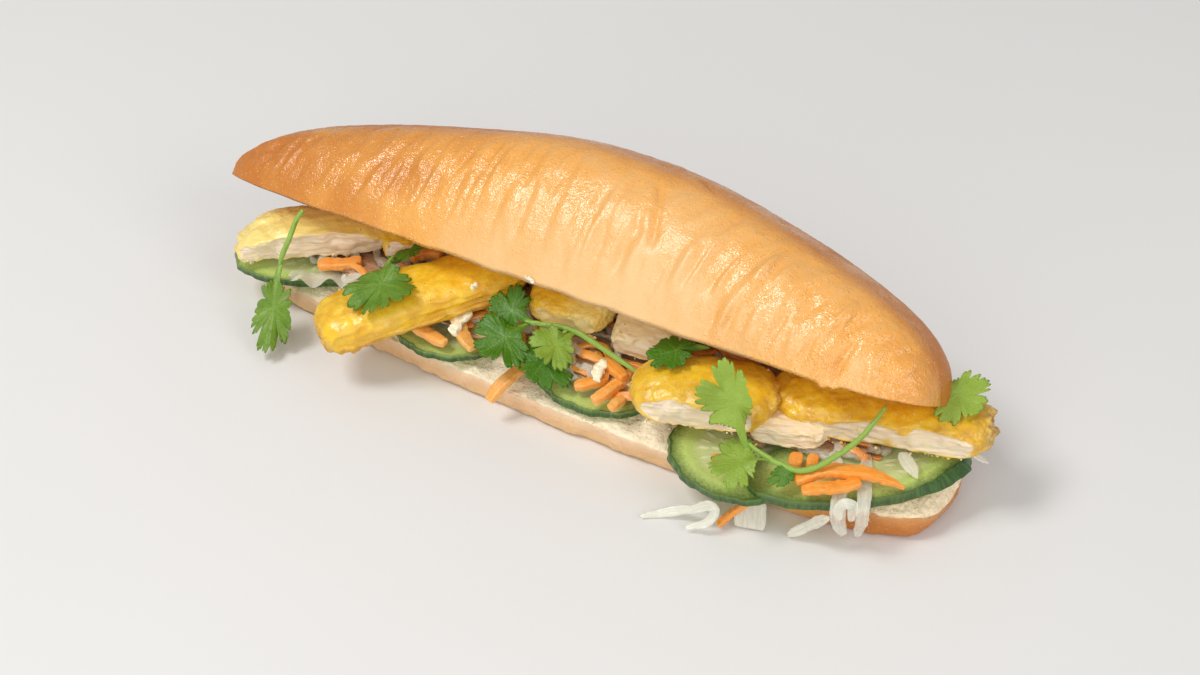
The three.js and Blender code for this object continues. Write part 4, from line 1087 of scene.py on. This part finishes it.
def make_chicken(number, row, settings):
    """One slice: lumpy glazed skin on top, cut face in front with a crumbly edge below."""
    mesh, start = sphere_mesh(170, 130)
    long, wide, deep = row.half
    bluntness = np.where(start[:, 0] < 0, row.ends[0], row.ends[1])
    station = squared(start[:, 0], 3)
    body = np.maximum(1 - np.abs(station) ** bluntness, 0) ** 0.5
    angle = np.arctan2(start[:, 2], start[:, 1])
    upper = start[:, 2] > 0
    squareness = np.where(upper, 2.4, 3.6)
    lump = 1 + 0.07 * unevenness(station * long + 31 * (number - 1), angle * 9, number - 1, 9)
    y = squared(np.cos(angle), squareness) * wide * body * lump
    z = squared(np.sin(angle), squareness) * deep * body**0.7 * np.where(upper, lump, 0.85)
    wander = rows(station * long, 0, z)
    cut_at = -row.cut * wide + 1.1 * noise(wander, 4.5, 71 + number)
    beyond = np.maximum(cut_at - y, 0)
    y = np.maximum(y, cut_at)
    x = station * long + row.slant * y / wide
    z -= row.droop * np.maximum(-station, 0) ** 2
    points = rows(x, y, z)
    move_points(mesh, points)
    normals = read_rows(mesh.vertex_normals, "vector")
    seed = 70 + 5 * number
    cut_face = ramp(beyond, 0.05, 0.5)
    meat = np.maximum(cut_face * row.meat, row.bare)
    coarse = fractal_noise(points, 8.0, 3, seed)
    fine = fractal_noise(points, 2.4, 3, seed + 1)
    strings = fractal_noise(points * (0.25, 1, 1.3), 1.6, 3, seed + 2)
    relief = settings.lump / MM * (0.55 * coarse + 0.28 * fine) * row.lump
    torn = (row.torn * strings + 0.25 * fine + 0.2 * coarse) * (1 - 0.45 * row.bare)
    relief = np.where(meat > 0.5, torn, relief)
    lower_edge = bell(z, -0.8 * deep, 0.9) * ramp(-y, 0.45 * wide, 0.85 * wide)
    left_frill = ramp(-station, 0.9, 1.0) * row.frill[0]
    right_frill = ramp(station, 0.9, 1.0) * row.frill[1]
    ragged = 0.5 + 0.9 * fractal_noise(points, 1.9, 2, seed + 3)
    crisp = 0.4 + 1.1 * fractal_noise(points, 3.6, 3, seed + 6)
    frill = settings.frill / MM * np.maximum(ragged, -0.2) * (0.6 * lower_edge + left_frill)
    frill += 1.6 * settings.frill / MM * np.maximum(crisp, -0.4) * right_frill
    top_edge = bell(beyond, 0, 0.9) * ramp(-y, 0.6 * wide, 0.9 * wide) * (z > 0)
    frill += 0.5 * top_edge * (ragged - 0.3) * (row.meat > 0)
    points += normals * (relief + frill)[:, None]
    if row.ridge:
        below = np.mod(angle, 2 * math.pi) - math.pi + 0.06 * np.sin(2.5 * station)
        for place, width, rise in RIDGES:
            fold = rise * (0.8 + 0.5 * coarse) * bell(below, place, width) * (1 - station**4)
            points += normals * fold[:, None]
    placed = turned(points, row.turn, row.at)
    placed[:, 2] = np.maximum(placed[:, 2], 0.2)
    move_points(mesh, placed)
    rim_glow = np.clip(lower_edge + 1.2 * (left_frill + right_frill), 0, 1)
    meat *= 1 - 0.7 * ramp(rim_glow + 0.25 * fine, 0.4, 0.9)
    ends_roast = ramp(np.abs(station), 0.8, 1.0) * 0.7
    back_roast = ramp(y, 0.35 * wide, 0.95 * wide) * 0.5
    patches = ramp(noise(points, 9.0, seed + 4), 0.1, 0.6)
    crisp_ends = 0.9 * (left_frill + right_frill)
    brown = row.brown * (ends_roast + back_roast + crisp_ends + 0.55 * patches + 0.5 * top_edge + 0.15)
    # Browner in the hollows of the lumps and less brown on their tops: painted shade and painted light.
    brown = np.clip(brown + row.brown * 0.25 * np.clip(-relief, -1, 1), 0, 1)
    if row.ridge:
        brown = np.clip(brown + 0.5 * ramp(below, 0.0, 0.3) * (below < 1.6), 0, 1)
    # Paler skin: partly its own lighter colour, partly painted light where a slice lies in the shade of the
    # lid.
    left_pale, right_pale = row.pale
    pale = left_pale + (right_pale - left_pale) * ramp(station, -0.2, 0.5)
    pale = np.clip(pale + 0.5 * rim_glow * (row.meat > 0), -0.3, 1)
    marks = {"meat": meat, "brown": brown, "pale": pale, "grain": points}
    material = kept_material("glazed chicken", chicken_material, settings)
    return make_piece(f"chicken_slice_{number}", mesh, marks, material, [f"chicken_{number}"])


# ----------------------------------------
# Carrot, daikon, cabbage and slaw
# ----------------------------------------


def make_shred(kind, number, row, material):
    """One shred of carrot or daikon that lies free among the fillings."""
    first_seed, squareness, rough = (200, 4.6, 0.2) if kind == "carrot" else (300, 3.6, 0.14)
    shape = (row.face, row.point, row.square or squareness, (28, 110), first_seed + number)
    mesh, grain = shred_mesh(row.path, row.size, *shape, rough=row.rough or rough)
    light = np.full(len(grain), row.pale)
    marks = {"grain": grain, "shade": 0 * light, "light": light}
    return make_piece(f"{kind}_shred_{number}", mesh, marks, material, [f"{kind}_{number}"])


def make_cabbage(row, material):
    """A crinkled piece of cabbage leaf."""
    mesh, start = sphere_mesh(220, 18, lengthwise=False)
    turn = np.arctan2(start[:, 1], start[:, 0])
    radius = np.hypot(start[:, 0], start[:, 1])
    along = squared(np.cos(turn), 3.5) * radius / 2
    across = squared(np.sin(turn), 3.5) * radius / 2
    long, wide = row.size
    flat = rows(along * long, across * wide, 0)
    edge = 1 + 0.12 * noise(flat, 2.5, 91) * radius
    x = along * long * edge
    y = across * wide * edge + 1.4 * np.sin(9 * along) - 2 * along**2
    z = row.wave * np.sin(row.waves * 2 * math.pi * along + across) * (0.7 - across)
    z = z + 0.35 * noise(flat, 3.0, 92) + start[:, 2] * 0.42
    move_points(mesh, turned(rows(x, y, z), row.turn, row.at))
    marks = {"grain": flat * (0.4, 3, 1), "shade": 0 * x, "light": 0 * x}
    return make_piece("cabbage_leaf", mesh, marks, material, ["cabbage"])


# Loose shreds on the heap, with their sizes in millimetres.
CARROT_SHARE = 0.48
SHRED_REACH = (9, 21)
SHRED_WIDTH = (2.2, 3.4)
SHRED_THICKNESS = (1.1, 1.9)
SHRED_BEND = 2.2
TRIES_PER_SHRED = 8
DEEPEST_OVERLAP = 0.7


def solid_tree(name):
    """A search tree of a solid of the model, in millimetres."""
    bm = bmesh.new()
    bm.from_mesh(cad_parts[name].data)
    bm.transform(Matrix.Scale(1 / MM, 4))
    bmesh.ops.remove_doubles(bm, verts=bm.verts, dist=1e-4)
    return BVHTree.FromBMesh(bm), bm


def is_inside(tree, place, depth):
    """Whether a place lies inside a solid by more than a depth."""
    found, normal, index, distance = tree.find_nearest(place)
    return found is not None and (place - found).dot(normal) < 0 and distance > depth


def lay_shred(core, place, normal, direction, reach, bend):
    """Points of a shred that lies on the heap through a place, a little bent."""
    side = normal.cross(direction)
    points = []
    for step in (-1, -0.5, 0, 0.5, 1):
        wanted = place + direction * (step * reach / 2) + side * (bend * step * step)
        found, facing, index, distance = core.find_nearest(wanted)
        points.append(found + facing * 0.55 + Vector((0, 0, 0.25 * math.sin(4 * step + bend))))
    return points


def make_slaw(settings, materials):
    """The heap of pickles: a dim core with loose shreds of carrot and daikon laid over it."""
    core_tree, core_mesh = solid_tree("slaw")
    others = [f"cucumber_{k + 1}" for k in range(len(CUCUMBERS))]
    others += [f"chicken_{k + 1}" for k in range(len(CHICKENS))]
    others += ["bread_top", "bread_bottom"]
    neighbours = [solid_tree(name) for name in others]
    core_mesh.faces.ensure_lookup_table()
    areas = np.array([face.calc_area() for face in core_mesh.faces])
    facing = np.array([face.normal for face in core_mesh.faces])
    weights = areas * (0.15 + np.maximum(facing[:, 2], 0) + 1.3 * np.maximum(-facing[:, 1], 0))
    weights /= weights.sum()
    random = np.random.default_rng(7)
    parts = {"carrot": [], "daikon": []}
    laid = 0
    tries = 0
    while laid < settings.shred_count and tries < TRIES_PER_SHRED * settings.shred_count:
        tries += 1
        face = core_mesh.faces[int(random.choice(len(areas), p=weights))]
        shares = random.dirichlet((1, 1, 1))
        place = sum((corner.co * share_of for corner, share_of in zip(face.verts, shares)), Vector())
        heading = Vector((1, random.normal(0, 0.7), random.normal(0, 0.35)))
        direction = (heading - face.normal * heading.dot(face.normal)).normalized()
        reach = random.uniform(*SHRED_REACH)
        path = lay_shred(core_tree, place, face.normal, direction, reach, random.normal(0, SHRED_BEND))
        kind = "carrot" if random.random() < CARROT_SHARE else "daikon"
        size = (random.uniform(*SHRED_WIDTH), random.uniform(*SHRED_THICKNESS))
        lean = Vector((random.normal(0, 0.4), random.normal(0, 0.4), 1))
        if any(is_inside(tree, point, DEEPEST_OVERLAP) for point in path for tree, solid in neighbours):
            continue
        up = face.normal + 0.6 * lean
        rough = 0.2 if kind == "carrot" else 0.5
        parts[kind].append(shred_mesh(path, size, up, False, 4.0, (12, 30), 400 + laid, 0.5, rough))
        laid += 1
    pieces = []
    for kind, shreds in parts.items():
        mesh = joined([shred for shred, grain in shreds])
        points = read_rows(mesh.vertices, "co") / MM
        shade = 0.75 * ramp(points[:, 1], -20, -2) - 0.02 * (points[:, 2] - 22)
        light = np.concatenate([np.full(len(grain), random.uniform(0, 0.35)) for shred, grain in shreds])
        marks = {"grain": np.vstack([grain for shred, grain in shreds]), "shade": np.clip(shade, 0, 0.8),
                 "light": light}
        pieces.append(make_piece(f"slaw_{kind}", mesh, marks, materials[kind], ["slaw"]))
    for tree, bm in neighbours:
        bm.free()
    pieces.append(make_slaw_core(core_mesh, materials["core"]))
    return pieces


def make_slaw_core(bm, material):
    """The inside of the heap, from the solid: split finely, drawn in a little and made uneven."""
    bmesh.ops.triangulate(bm, faces=bm.faces)
    for target in (9.0, 4.5, 2.6):
        long_edges = [edge for edge in bm.edges if edge.calc_length() > target]
        bmesh.ops.subdivide_edges(bm, edges=long_edges, cuts=1)
        bmesh.ops.triangulate(bm, faces=bm.faces)
    bmesh.ops.smooth_vert(bm, verts=bm.verts, factor=0.4, use_axis_x=True, use_axis_y=True, use_axis_z=True)
    mesh = mesh_from(bm)
    normals = read_rows(mesh.vertex_normals, "vector")
    points = read_rows(mesh.vertices, "co")
    strings = fractal_noise(points * (0.3, 1, 1), 2.4, 3, 500)
    points += normals * (0.7 * strings - 1.0)[:, None]
    move_points(mesh, points)
    shade = 0.1 + 0.5 * ramp(points[:, 1], -22, -4)
    marks = {"grain": points * (0.5, 1.2, 1.2), "shade": shade, "light": 0 * shade}
    return make_piece("slaw_core", mesh, marks, material, ["slaw"])


# ----------------------------------------
# Coriander
# ----------------------------------------


def leaf_outline(angle, variety):
    """Outline radius of a leaf round its middle: lobes between deep clefts, with uneven teeth."""
    turn = np.abs(angle)
    random = np.random.default_rng(900 + variety)
    outline = 0.485 - 0.05 * ramp(turn, 1.0, 1.7) - 0.17 * ramp(turn, 1.8, 2.5)
    for centre in (-1.88, -0.63, 0.63, 1.88):
        place = centre + random.normal(0, 0.07)
        deep = random.uniform(0.34, 0.52)
        outline *= 1 - deep * np.exp(-np.abs((angle - place) / 0.085) ** 1.2)
    for centre in (-2.3, -1.45, -1.05, -0.26, 0.24, 1.02, 1.5, 2.25):
        place = centre + random.normal(0, 0.06)
        deep = random.uniform(0.12, 0.26)
        outline *= 1 - deep * np.exp(-np.abs((angle - place) / 0.045) ** 1.2)
    wander = angle + 0.05 * np.sin(3 * angle + variety)
    teeth = np.abs(np.sin(15.5 * wander + variety)) ** 0.6
    size = 0.08 + 0.03 * np.sin(4 * angle + 2 * variety)
    stalk = 0.3 * bell(turn, math.pi, 0.16)
    return outline * (1 - size + 1.3 * size * teeth) + stalk


def leaf_mesh(row, seed, settings):
    """One leaf, with marks at its points for its veins and how light it is."""
    mesh, start = sphere_mesh(320, 24, lengthwise=False)
    base = np.array(row.base, dtype=float)
    along = np.array(row.tip) - base
    reach = np.linalg.norm(along)
    along /= reach
    facing = np.array(row.face, dtype=float)
    facing -= along * (along @ facing)
    facing /= np.linalg.norm(facing)
    side = np.cross(facing, along)
    angle = np.arctan2(start[:, 1], start[:, 0])
    down = np.arccos(np.clip(start[:, 2], -1, 1)) / math.pi
    ring = np.clip(np.minimum(down, 1 - down) / 0.5, 0, 1)
    radius = ring * leaf_outline(angle, seed)
    u = 0.45 + radius * np.cos(angle)
    v = radius * np.sin(angle) * row.spread
    v = np.where(v < 0, row.narrow * v, v)
    stem_u = np.clip(u / 0.45, 0, 1)
    spokes = np.abs(np.sin(2.5 * angle)) * radius / 2.5
    spokes = np.where(u < 0.4, np.minimum(spokes, np.abs(v)), spokes)
    vein = 0.32 * bell(spokes, 0, 0.009) * (1 - 0.75 * ring)
    forks = np.abs(np.sin(7.5 * angle)) * radius / 7.5
    vein = np.maximum(vein, 0.2 * bell(forks, 0, 0.008) * ramp(ring, 0.25, 0.5) * (1 - ring))
    lift = -row.cup * v * v - row.arch * (u - 0.35) ** 2 + 0.02 * np.sin(7 * u + 5 * v)
    place = rows(u * reach, v * reach, 0)
    sway = np.sin(3 * angle + seed) + 0.7 * np.sin(5 * angle + 2.3 * seed)
    lift = lift + ring**2 * (0.04 * sway + 0.025 * np.abs(np.cos(2.5 * angle))) - 0.007 * vein
    lift += (0.55 * noise(place, 6.0, 600 + seed) + 0.25 * noise(place, 2.6, 610 + seed)) / reach
    thick = settings.leaf_thickness / MM / reach
    shell = np.sign(start[:, 2]) * np.sqrt(np.clip(1 - ring**4, 0, 1)) * thick / 2
    shell *= 1 + 1.2 * bell(v, 0, 0.025) * (1 - stem_u)
    points = base + along * (u * reach)[:, None] + side * (v * reach)[:, None]
    points += facing * ((lift + shell) * reach)[:, None]
    points[:, 2] = np.maximum(points[:, 2], 0.3)
    move_points(mesh, points)
    vein = np.maximum(vein, bell(v, 0, 0.03) * (1 - ramp(u, 0.02, 0.2)))
    under = 0.3 * (start[:, 2] < -0.05)
    return mesh, vein, np.full(len(u), float(row.light)) + under


def make_sprig(number, row, settings):
    """One sprig of coriander: its stems and leaves."""
    parts = []
    across = 2 * settings.stem_radius / MM
    for k, path in enumerate(row.stems):
        size = (across, across) if k == 0 else (0.8 * across, 0.8 * across)
        seed = 700 + 10 * number + k
        mesh, grain = shred_mesh(path, size, (0.1, 0.3, 1), False, 2.2, (14, 120), seed, 0.12)
        parts.append((mesh, np.full(len(grain), 0.9), np.full(len(grain), 0.5)))
    for k, leaf in enumerate(row.leaves):
        parts.append(leaf_mesh(leaf, 3 * number + k, settings))
    meshes, veins, lights = zip(*parts)
    marks = {"vein": np.concatenate(veins), "light": np.concatenate(lights)}
    material = kept_material("coriander leaf", coriander_material, settings)
    nodes = [f"coriander_{number}"]
    return make_piece(f"coriander_sprig_{number}", joined(meshes), marks, material, nodes)


# ----------------------------------------
# Crumbs
# ----------------------------------------

# Crumbs that stand out, with their radius and how yellow they are.
CRUMBS = [
    ((-34.2, -21.4, 38.4), 1.2, 0.1),
    ((-33.6, -21.0, 39.6), 0.8, 0.1),
    ((-11.4, -22.5, 51.7), 0.8, 0.0),
    ((-10.4, -22.6, 51.5), 0.8, 0.0),
    ((-9.4, -22.8, 51.2), 0.6, 0.0),
    ((-12.4, -22.4, 51.9), 0.5, 0.0),
]

# Pieces with scattered crumbs: how many, how yellow, and their least and largest radius.
CRUMB_HOSTS = [("lower_half", 60, 0.1, 0.25, 0.6)]
CRUMB_HOSTS += [(f"chicken_slice_{k}", 3, 0.75, 0.25, 0.5) for k in range(1, len(CHICKENS) + 1)]


def edge_crumbs(row, random):
    """Crumbs along the lower front edge of a chicken slice."""
    long, wide, deep = row.half
    count = int(0.7 * long)
    clumps = random.uniform(-0.9, 0.9, 5)
    along = np.clip(random.choice(clumps, count) + random.normal(0, 0.09, count), -0.93, 0.93)
    across = -row.cut * wide + random.normal(0.15, 0.3, count)
    height = -0.76 * deep + random.normal(0, 0.45, count)
    height -= row.droop * np.maximum(-along, 0) ** 2
    places = rows(along * long + row.slant * across / wide, across, height)
    placed = turned(places, row.turn, row.at)
    sizes = 0.18 + 0.42 * random.random(count) ** 2
    return [(Vector(place), size, 0.55 + random.normal(0, 0.2)) for place, size in zip(placed, sizes)]


def make_crumbs(material):
    """Small crumbs on the lower half and along the edges of the chicken."""
    bm = bmesh.new()
    random = np.random.default_rng(23)
    warmth = []
    places = [(Vector(place), size, warm) for place, size, warm in CRUMBS]
    for row in CHICKENS:
        if row.meat:
            places += edge_crumbs(row, random)
    for name, count, warm, least, most in CRUMB_HOSTS:
        piece = bpy.data.objects[name]
        mesh = bmesh.new()
        mesh.from_mesh(piece.data)
        upper = (face for face in mesh.faces if face.normal.z > 0.25)
        faces = [face for face in upper if face.calc_center_median().y < -0.004]
        faces.sort(key=lambda face: sorted(vert.index for vert in face.verts))
        for face in random.choice(len(faces), min(count, len(faces)), replace=False):
            spot = faces[int(face)].calc_center_median() / MM + faces[int(face)].normal * 0.2
            places.append((spot, random.uniform(least, most), warm + random.normal(0, 0.12)))
        mesh.free()
    for place, size, warm in places:
        made = bmesh.ops.create_icosphere(bm, subdivisions=2, radius=1.0)["verts"]
        points = np.array([vert.co for vert in made])
        stretch = random.uniform(0.6, 1.3, 3)
        rough = 1 + 0.6 * noise(points + random.uniform(0, 50), 0.8, 3)
        points = points * stretch * rough[:, None] * size + np.array(place)
        points[:, 2] = np.maximum(points[:, 2], 0.1)
        for vert, spot in zip(made, points * MM):
            vert.co = spot
        warmth.append(np.full(len(made), float(np.clip(warm, 0, 1))))
    return make_piece("crumbs", mesh_from(bm), {"warm": np.concatenate(warmth)}, material, [])


# ----------------------------------------
# Stage
# ----------------------------------------

VIEW_MIDDLE = (-3.74, 8.06, 11.65)
WORLD_COLOUR = (1.0, 0.985, 0.97, 1.0)
WORLD_STRENGTH = 0.43

# Soft square lights: the direction they stand in, distance and size in metres, and power.
LIGHTS = [
    ("key light", (-0.34, -0.4, 0.86), 1.6, 0.5, 11.5),
    ("front fill", (0.2, -0.9, 0.5), 1.8, 1.0, 8.0),
    ("right fill", (0.85, -0.25, 0.6), 1.8, 0.9, 7.5),
]


def stand_at(item, middle, direction, distance):
    """Puts a light or the camera at a distance from a place, looking back at it."""
    item.location = middle + direction * distance
    item.rotation_euler = direction.to_track_quat("Z", "Y").to_euler()
    bpy.context.collection.objects.link(item)


def make_stage(scene):
    """Pale floor, soft light and the camera."""
    settings = scene.banh_mi_stage
    bm = bmesh.new()
    bmesh.ops.create_grid(bm, x_segments=2, y_segments=2, size=4.0)
    mesh = bpy.data.meshes.new("floor")
    bm.to_mesh(mesh)
    bm.free()
    mesh.materials.append(floor_material(settings))
    floor = bpy.data.objects.new("floor", mesh)
    bpy.context.collection.objects.link(floor)
    world = bpy.data.worlds.new("soft studio")
    world.use_nodes = True
    background = world.node_tree.nodes["Background"]
    background.inputs["Color"].default_value = WORLD_COLOUR
    background.inputs["Strength"].default_value = WORLD_STRENGTH
    scene.world = world
    for name, toward, distance, size, power in LIGHTS:
        light = bpy.data.lights.new(name, "AREA")
        light.size = size
        light.energy = power
        stand_at(bpy.data.objects.new(name, light), Vector(), Vector(toward).normalized(), distance)
    camera = bpy.data.objects.new("camera", bpy.data.cameras.new("camera"))
    camera.data.lens = settings.lens
    camera.data.sensor_width = 36.0
    camera.data.clip_start = 0.01
    turn, lift = settings.azimuth, settings.elevation
    back = Vector((math.sin(turn) * math.cos(lift), -math.cos(turn) * math.cos(lift), math.sin(lift)))
    stand_at(camera, Vector(VIEW_MIDDLE) * MM, back, settings.distance)
    scene.camera = camera
    scene.view_settings.view_transform = "Standard"
    return floor


# ----------------------------------------
# Operators
# ----------------------------------------


FIRM_PICKLE = (0.93, 0.82, 0.56)
FIRM_PICKLE_PALE = (0.95, 0.90, 0.72)


def finished(pieces):
    """What an operator returns; raises an error if a piece is missing."""
    if not pieces or not all(pieces):
        raise RuntimeError("A piece of the sandwich could not be made")
    return {"FINISHED"}


def shred_materials(scene):
    """The materials of carrot, daikon and the core of the slaw."""
    settings = scene.banh_mi_vegetables
    carrot = kept_material("pickled carrot", shred_material, settings.carrot, settings.carrot_pale)
    colours = (settings.daikon, settings.daikon_clear)
    daikon = kept_material("pickled daikon", shred_material, *colours, 0.05, 0.5, 0.2, 0.66)
    firm = kept_material("firm pickle", shred_material, FIRM_PICKLE, FIRM_PICKLE_PALE, 0.2, 0.5)
    core = kept_material("slaw core", shred_material, settings.slaw_shade, settings.daikon, 0.8, 0.1)
    return {"carrot": carrot, "daikon": daikon, "firm": firm, "core": core}


class BANH_MI_OT_lid(bpy.types.Operator):
    """Make the upper half of the roll"""

    bl_idname = "banh_mi.lid"
    bl_label = "Upper half"

    def execute(self, context):
        return finished([make_lid(context.scene.banh_mi_bread)])


class BANH_MI_OT_lower_half(bpy.types.Operator):
    """Make the lower half of the roll"""

    bl_idname = "banh_mi.lower_half"
    bl_label = "Lower half"

    def execute(self, context):
        return finished([make_lower_half(context.scene.banh_mi_bread)])


class BANH_MI_OT_cucumber(bpy.types.Operator):
    """Make the cucumber slices"""

    bl_idname = "banh_mi.cucumber"
    bl_label = "Cucumber"

    def execute(self, context):
        settings = context.scene.banh_mi_vegetables
        return finished([make_cucumber(k, row, settings) for k, row in enumerate(CUCUMBERS, 1)])


class BANH_MI_OT_chicken(bpy.types.Operator):
    """Make the chicken slices"""

    bl_idname = "banh_mi.chicken"
    bl_label = "Chicken"

    def execute(self, context):
        settings = context.scene.banh_mi_chicken
        return finished([make_chicken(k, row, settings) for k, row in enumerate(CHICKENS, 1)])


class BANH_MI_OT_shreds(bpy.types.Operator):
    """Make the free shreds of carrot and daikon and the cabbage leaf"""

    bl_idname = "banh_mi.shreds"
    bl_label = "Free shreds"

    def execute(self, context):
        materials = shred_materials(context.scene)
        pieces = [make_shred("carrot", k, row, materials["carrot"]) for k, row in enumerate(CARROTS, 1)]
        for k, row in enumerate(DAIKONS, 1):
            pieces.append(make_shred("daikon", k, row, materials["firm" if row.rough else "daikon"]))
        pieces.append(make_cabbage(CABBAGE, materials["daikon"]))
        return finished(pieces)


class BANH_MI_OT_slaw(bpy.types.Operator):
    """Make the heap of pickles between the slices"""

    bl_idname = "banh_mi.slaw"
    bl_label = "Slaw"

    def execute(self, context):
        return finished(make_slaw(context.scene.banh_mi_vegetables, shred_materials(context.scene)))


class BANH_MI_OT_coriander(bpy.types.Operator):
    """Make the sprigs of coriander"""

    bl_idname = "banh_mi.coriander"
    bl_label = "Coriander"

    def execute(self, context):
        settings = context.scene.banh_mi_herbs
        return finished([make_sprig(k, row, settings) for k, row in enumerate(SPRIGS, 1)])


class BANH_MI_OT_crumbs(bpy.types.Operator):
    """Make the loose crumbs; the roll and the chicken must be there"""

    bl_idname = "banh_mi.crumbs"
    bl_label = "Crumbs"

    def execute(self, context):
        return finished([make_crumbs(kept_material("loose crumbs", crumb_material))])


class BANH_MI_OT_stage(bpy.types.Operator):
    """Make the floor, the light and the camera"""

    bl_idname = "banh_mi.stage"
    bl_label = "Stage"

    def execute(self, context):
        return finished([make_stage(context.scene)])


OPERATORS = [
    BANH_MI_OT_lid, BANH_MI_OT_lower_half, BANH_MI_OT_cucumber, BANH_MI_OT_chicken, BANH_MI_OT_shreds,
    BANH_MI_OT_slaw, BANH_MI_OT_coriander, BANH_MI_OT_crumbs, BANH_MI_OT_stage,
]


class BANH_MI_PT_panel(bpy.types.Panel):
    """Lists what the add-on makes, with its sizes and colours"""

    bl_idname = "BANH_MI_PT_panel"
    bl_label = "Banh mi sandwich"
    bl_space_type = "VIEW_3D"
    bl_region_type = "UI"
    bl_category = "Banh mi"

    def draw(self, context):
        layout = self.layout
        for operator in OPERATORS:
            layout.operator(operator.bl_idname)
        for name, group in SETTINGS.items():
            column = layout.box().column()
            for label in group.__annotations__:
                column.prop(getattr(context.scene, name), label)


CLASSES = [*SETTINGS.values(), *OPERATORS, BANH_MI_PT_panel]


def register():
    """Registers the classes and adds their settings to the scene."""
    for entry in CLASSES:
        bpy.utils.register_class(entry)
    for name, group in SETTINGS.items():
        setattr(bpy.types.Scene, name, PointerProperty(type=group))


def unregister():
    """Takes back what register did."""
    for name in SETTINGS:
        delattr(bpy.types.Scene, name)
    for entry in reversed(CLASSES):
        bpy.utils.unregister_class(entry)


def main():
    """Makes the whole sandwich and its stage."""
    register()
    for operator in OPERATORS:
        group, name = operator.bl_idname.split(".")
        result = getattr(getattr(bpy.ops, group), name)()
        if result != {"FINISHED"}:
            raise RuntimeError(f"{operator.bl_label} was not finished")
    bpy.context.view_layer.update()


if __name__ == "__main__":
    main()
